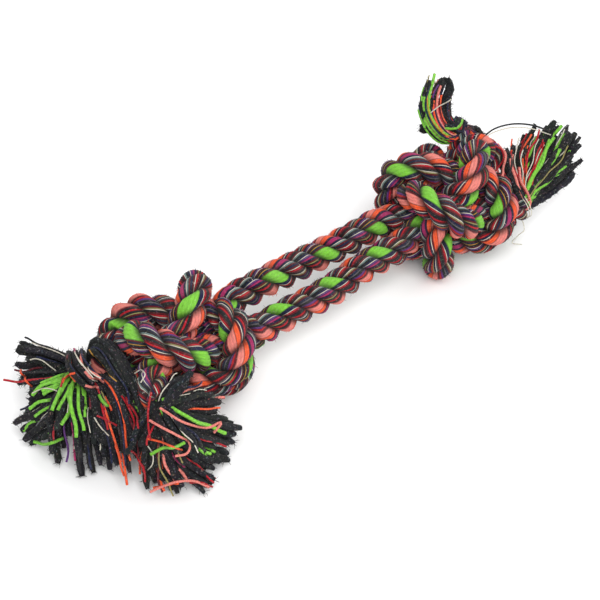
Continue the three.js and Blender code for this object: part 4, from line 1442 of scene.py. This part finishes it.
def lay_floor(scene):
    """A pale floor. Away from the toy, beyond the lamps' reach, it is seen as white as it is near them."""
    mesh = bpy.data.meshes.new("floor")
    mesh.from_pydata(FLOOR, [], [(0, 1, 2, 3)])
    floor = bpy.data.objects.new("floor", mesh)
    scene.collection.objects.link(floor)
    paper = bpy.data.materials.new("Pale floor")
    paper.use_nodes = True
    tree = paper.node_tree
    shader = next(n for n in tree.nodes if n.type == "BSDF_PRINCIPLED")
    shader.inputs["Base Color"].default_value = PAPER
    shader.inputs["Roughness"].default_value = 0.9
    mesh.materials.append(paper)
    apart = tree.nodes.new("ShaderNodeVectorMath")
    apart.operation = "LENGTH"
    tree.links.new(tree.nodes.new("ShaderNodeTexCoord").outputs["Object"], apart.inputs[0])
    beyond = add_node(tree, "ShaderNodeMapRange", {"From Min": WHITE_FROM, "From Max": WHITE_TO})
    tree.links.new(apart.outputs["Value"], beyond.inputs["Value"])
    white = add_node(tree, "ShaderNodeEmission", {"Color": WHITE, "Strength": 1.0})
    blend = tree.nodes.new("ShaderNodeMixShader")
    out = next(n for n in tree.nodes if n.type == "OUTPUT_MATERIAL")
    tree.links.new(math_node(tree, "MULTIPLY", seen_directly(tree), beyond.outputs[0]), blend.inputs[0])
    tree.links.new(shader.outputs[0], blend.inputs[1])
    tree.links.new(white.outputs[0], blend.inputs[2])
    tree.links.new(blend.outputs[0], out.inputs["Surface"])


def light_room(scene, strength):
    """A room that lights the toy evenly and is seen as white."""
    world = bpy.data.worlds.new("Soft room")
    world.use_nodes = True
    scene.world = world
    tree = world.node_tree
    backdrop = next(n for n in tree.nodes if n.type == "BACKGROUND")
    backdrop.inputs["Color"].default_value = WHITE
    backdrop.inputs["Strength"].default_value = strength
    bright = add_node(tree, "ShaderNodeBackground", {"Color": WHITE, "Strength": 1.0})
    mix = tree.nodes.new("ShaderNodeMixShader")
    out = next(n for n in tree.nodes if n.type == "OUTPUT_WORLD")
    tree.links.new(seen_directly(tree), mix.inputs[0])
    tree.links.new(backdrop.outputs[0], mix.inputs[1])
    tree.links.new(bright.outputs[0], mix.inputs[2])
    tree.links.new(mix.outputs[0], out.inputs["Surface"])


class ROPETOY_OT_stage(bpy.types.Operator):
    """Lay a pale floor and hang plain soft lamps"""

    bl_idname = "rope_toy.stage"
    bl_label = "Set the stage"

    def execute(self, context):
        scene = context.scene
        stage = scene.rope_toy_stage
        lay_floor(scene)
        light_room(scene, stage.sky)
        for name, spot, width, share in LAMPS:
            data = bpy.data.lights.new(name, "AREA")
            data.size = width
            data.energy = stage.lamp_power * share
            lamp = bpy.data.objects.new(name, data)
            scene.collection.objects.link(lamp)
            lamp.location = spot
            lamp.rotation_mode = "QUATERNION"
            lamp.rotation_quaternion = (Vector(stage.target) - Vector(spot)).to_track_quat("-Z", "Y")
        scene.view_settings.view_transform = "Standard"
        return {"FINISHED"}


# Panel and registration

OPERATORS = (
    ROPETOY_OT_camera,
    ROPETOY_OT_ropes,
    ROPETOY_OT_tassels,
    ROPETOY_OT_curls,
    ROPETOY_OT_thread,
    ROPETOY_OT_stage,
)
GROUPS = {
    "rope_toy_sizes": RopeToySizes,
    "rope_toy_tassels": RopeToyTassels,
    "rope_toy_colours": RopeToyColours,
    "rope_toy_stage": RopeToyStage,
}


class ROPETOY_PT_panel(bpy.types.Panel):
    """Sizes, colours and steps of the rope toy"""

    bl_idname = "ROPETOY_PT_panel"
    bl_label = "Rope toy"
    bl_space_type = "VIEW_3D"
    bl_region_type = "UI"
    bl_category = "Rope toy"

    def draw(self, context):
        for operator in OPERATORS:
            self.layout.operator(operator.bl_idname)
        for name, group in GROUPS.items():
            box = self.layout.box()
            for key in group.__annotations__:
                box.prop(getattr(context.scene, name), key)


def register():
    for cls in (*GROUPS.values(), *OPERATORS, ROPETOY_PT_panel):
        bpy.utils.register_class(cls)
    for name, group in GROUPS.items():
        setattr(bpy.types.Scene, name, bpy.props.PointerProperty(type=group))


def unregister():
    for name in GROUPS:
        delattr(bpy.types.Scene, name)
    for cls in (ROPETOY_PT_panel, *reversed(OPERATORS), *reversed(GROUPS.values())):
        bpy.utils.unregister_class(cls)


def main():
    register()
    bpy.ops.rope_toy.camera()
    bpy.ops.rope_toy.ropes()
    bpy.ops.rope_toy.tassels()
    bpy.ops.rope_toy.curls()
    bpy.ops.rope_toy.thread()
    bpy.ops.rope_toy.stage()


if __name__ == "__main__":
    main()
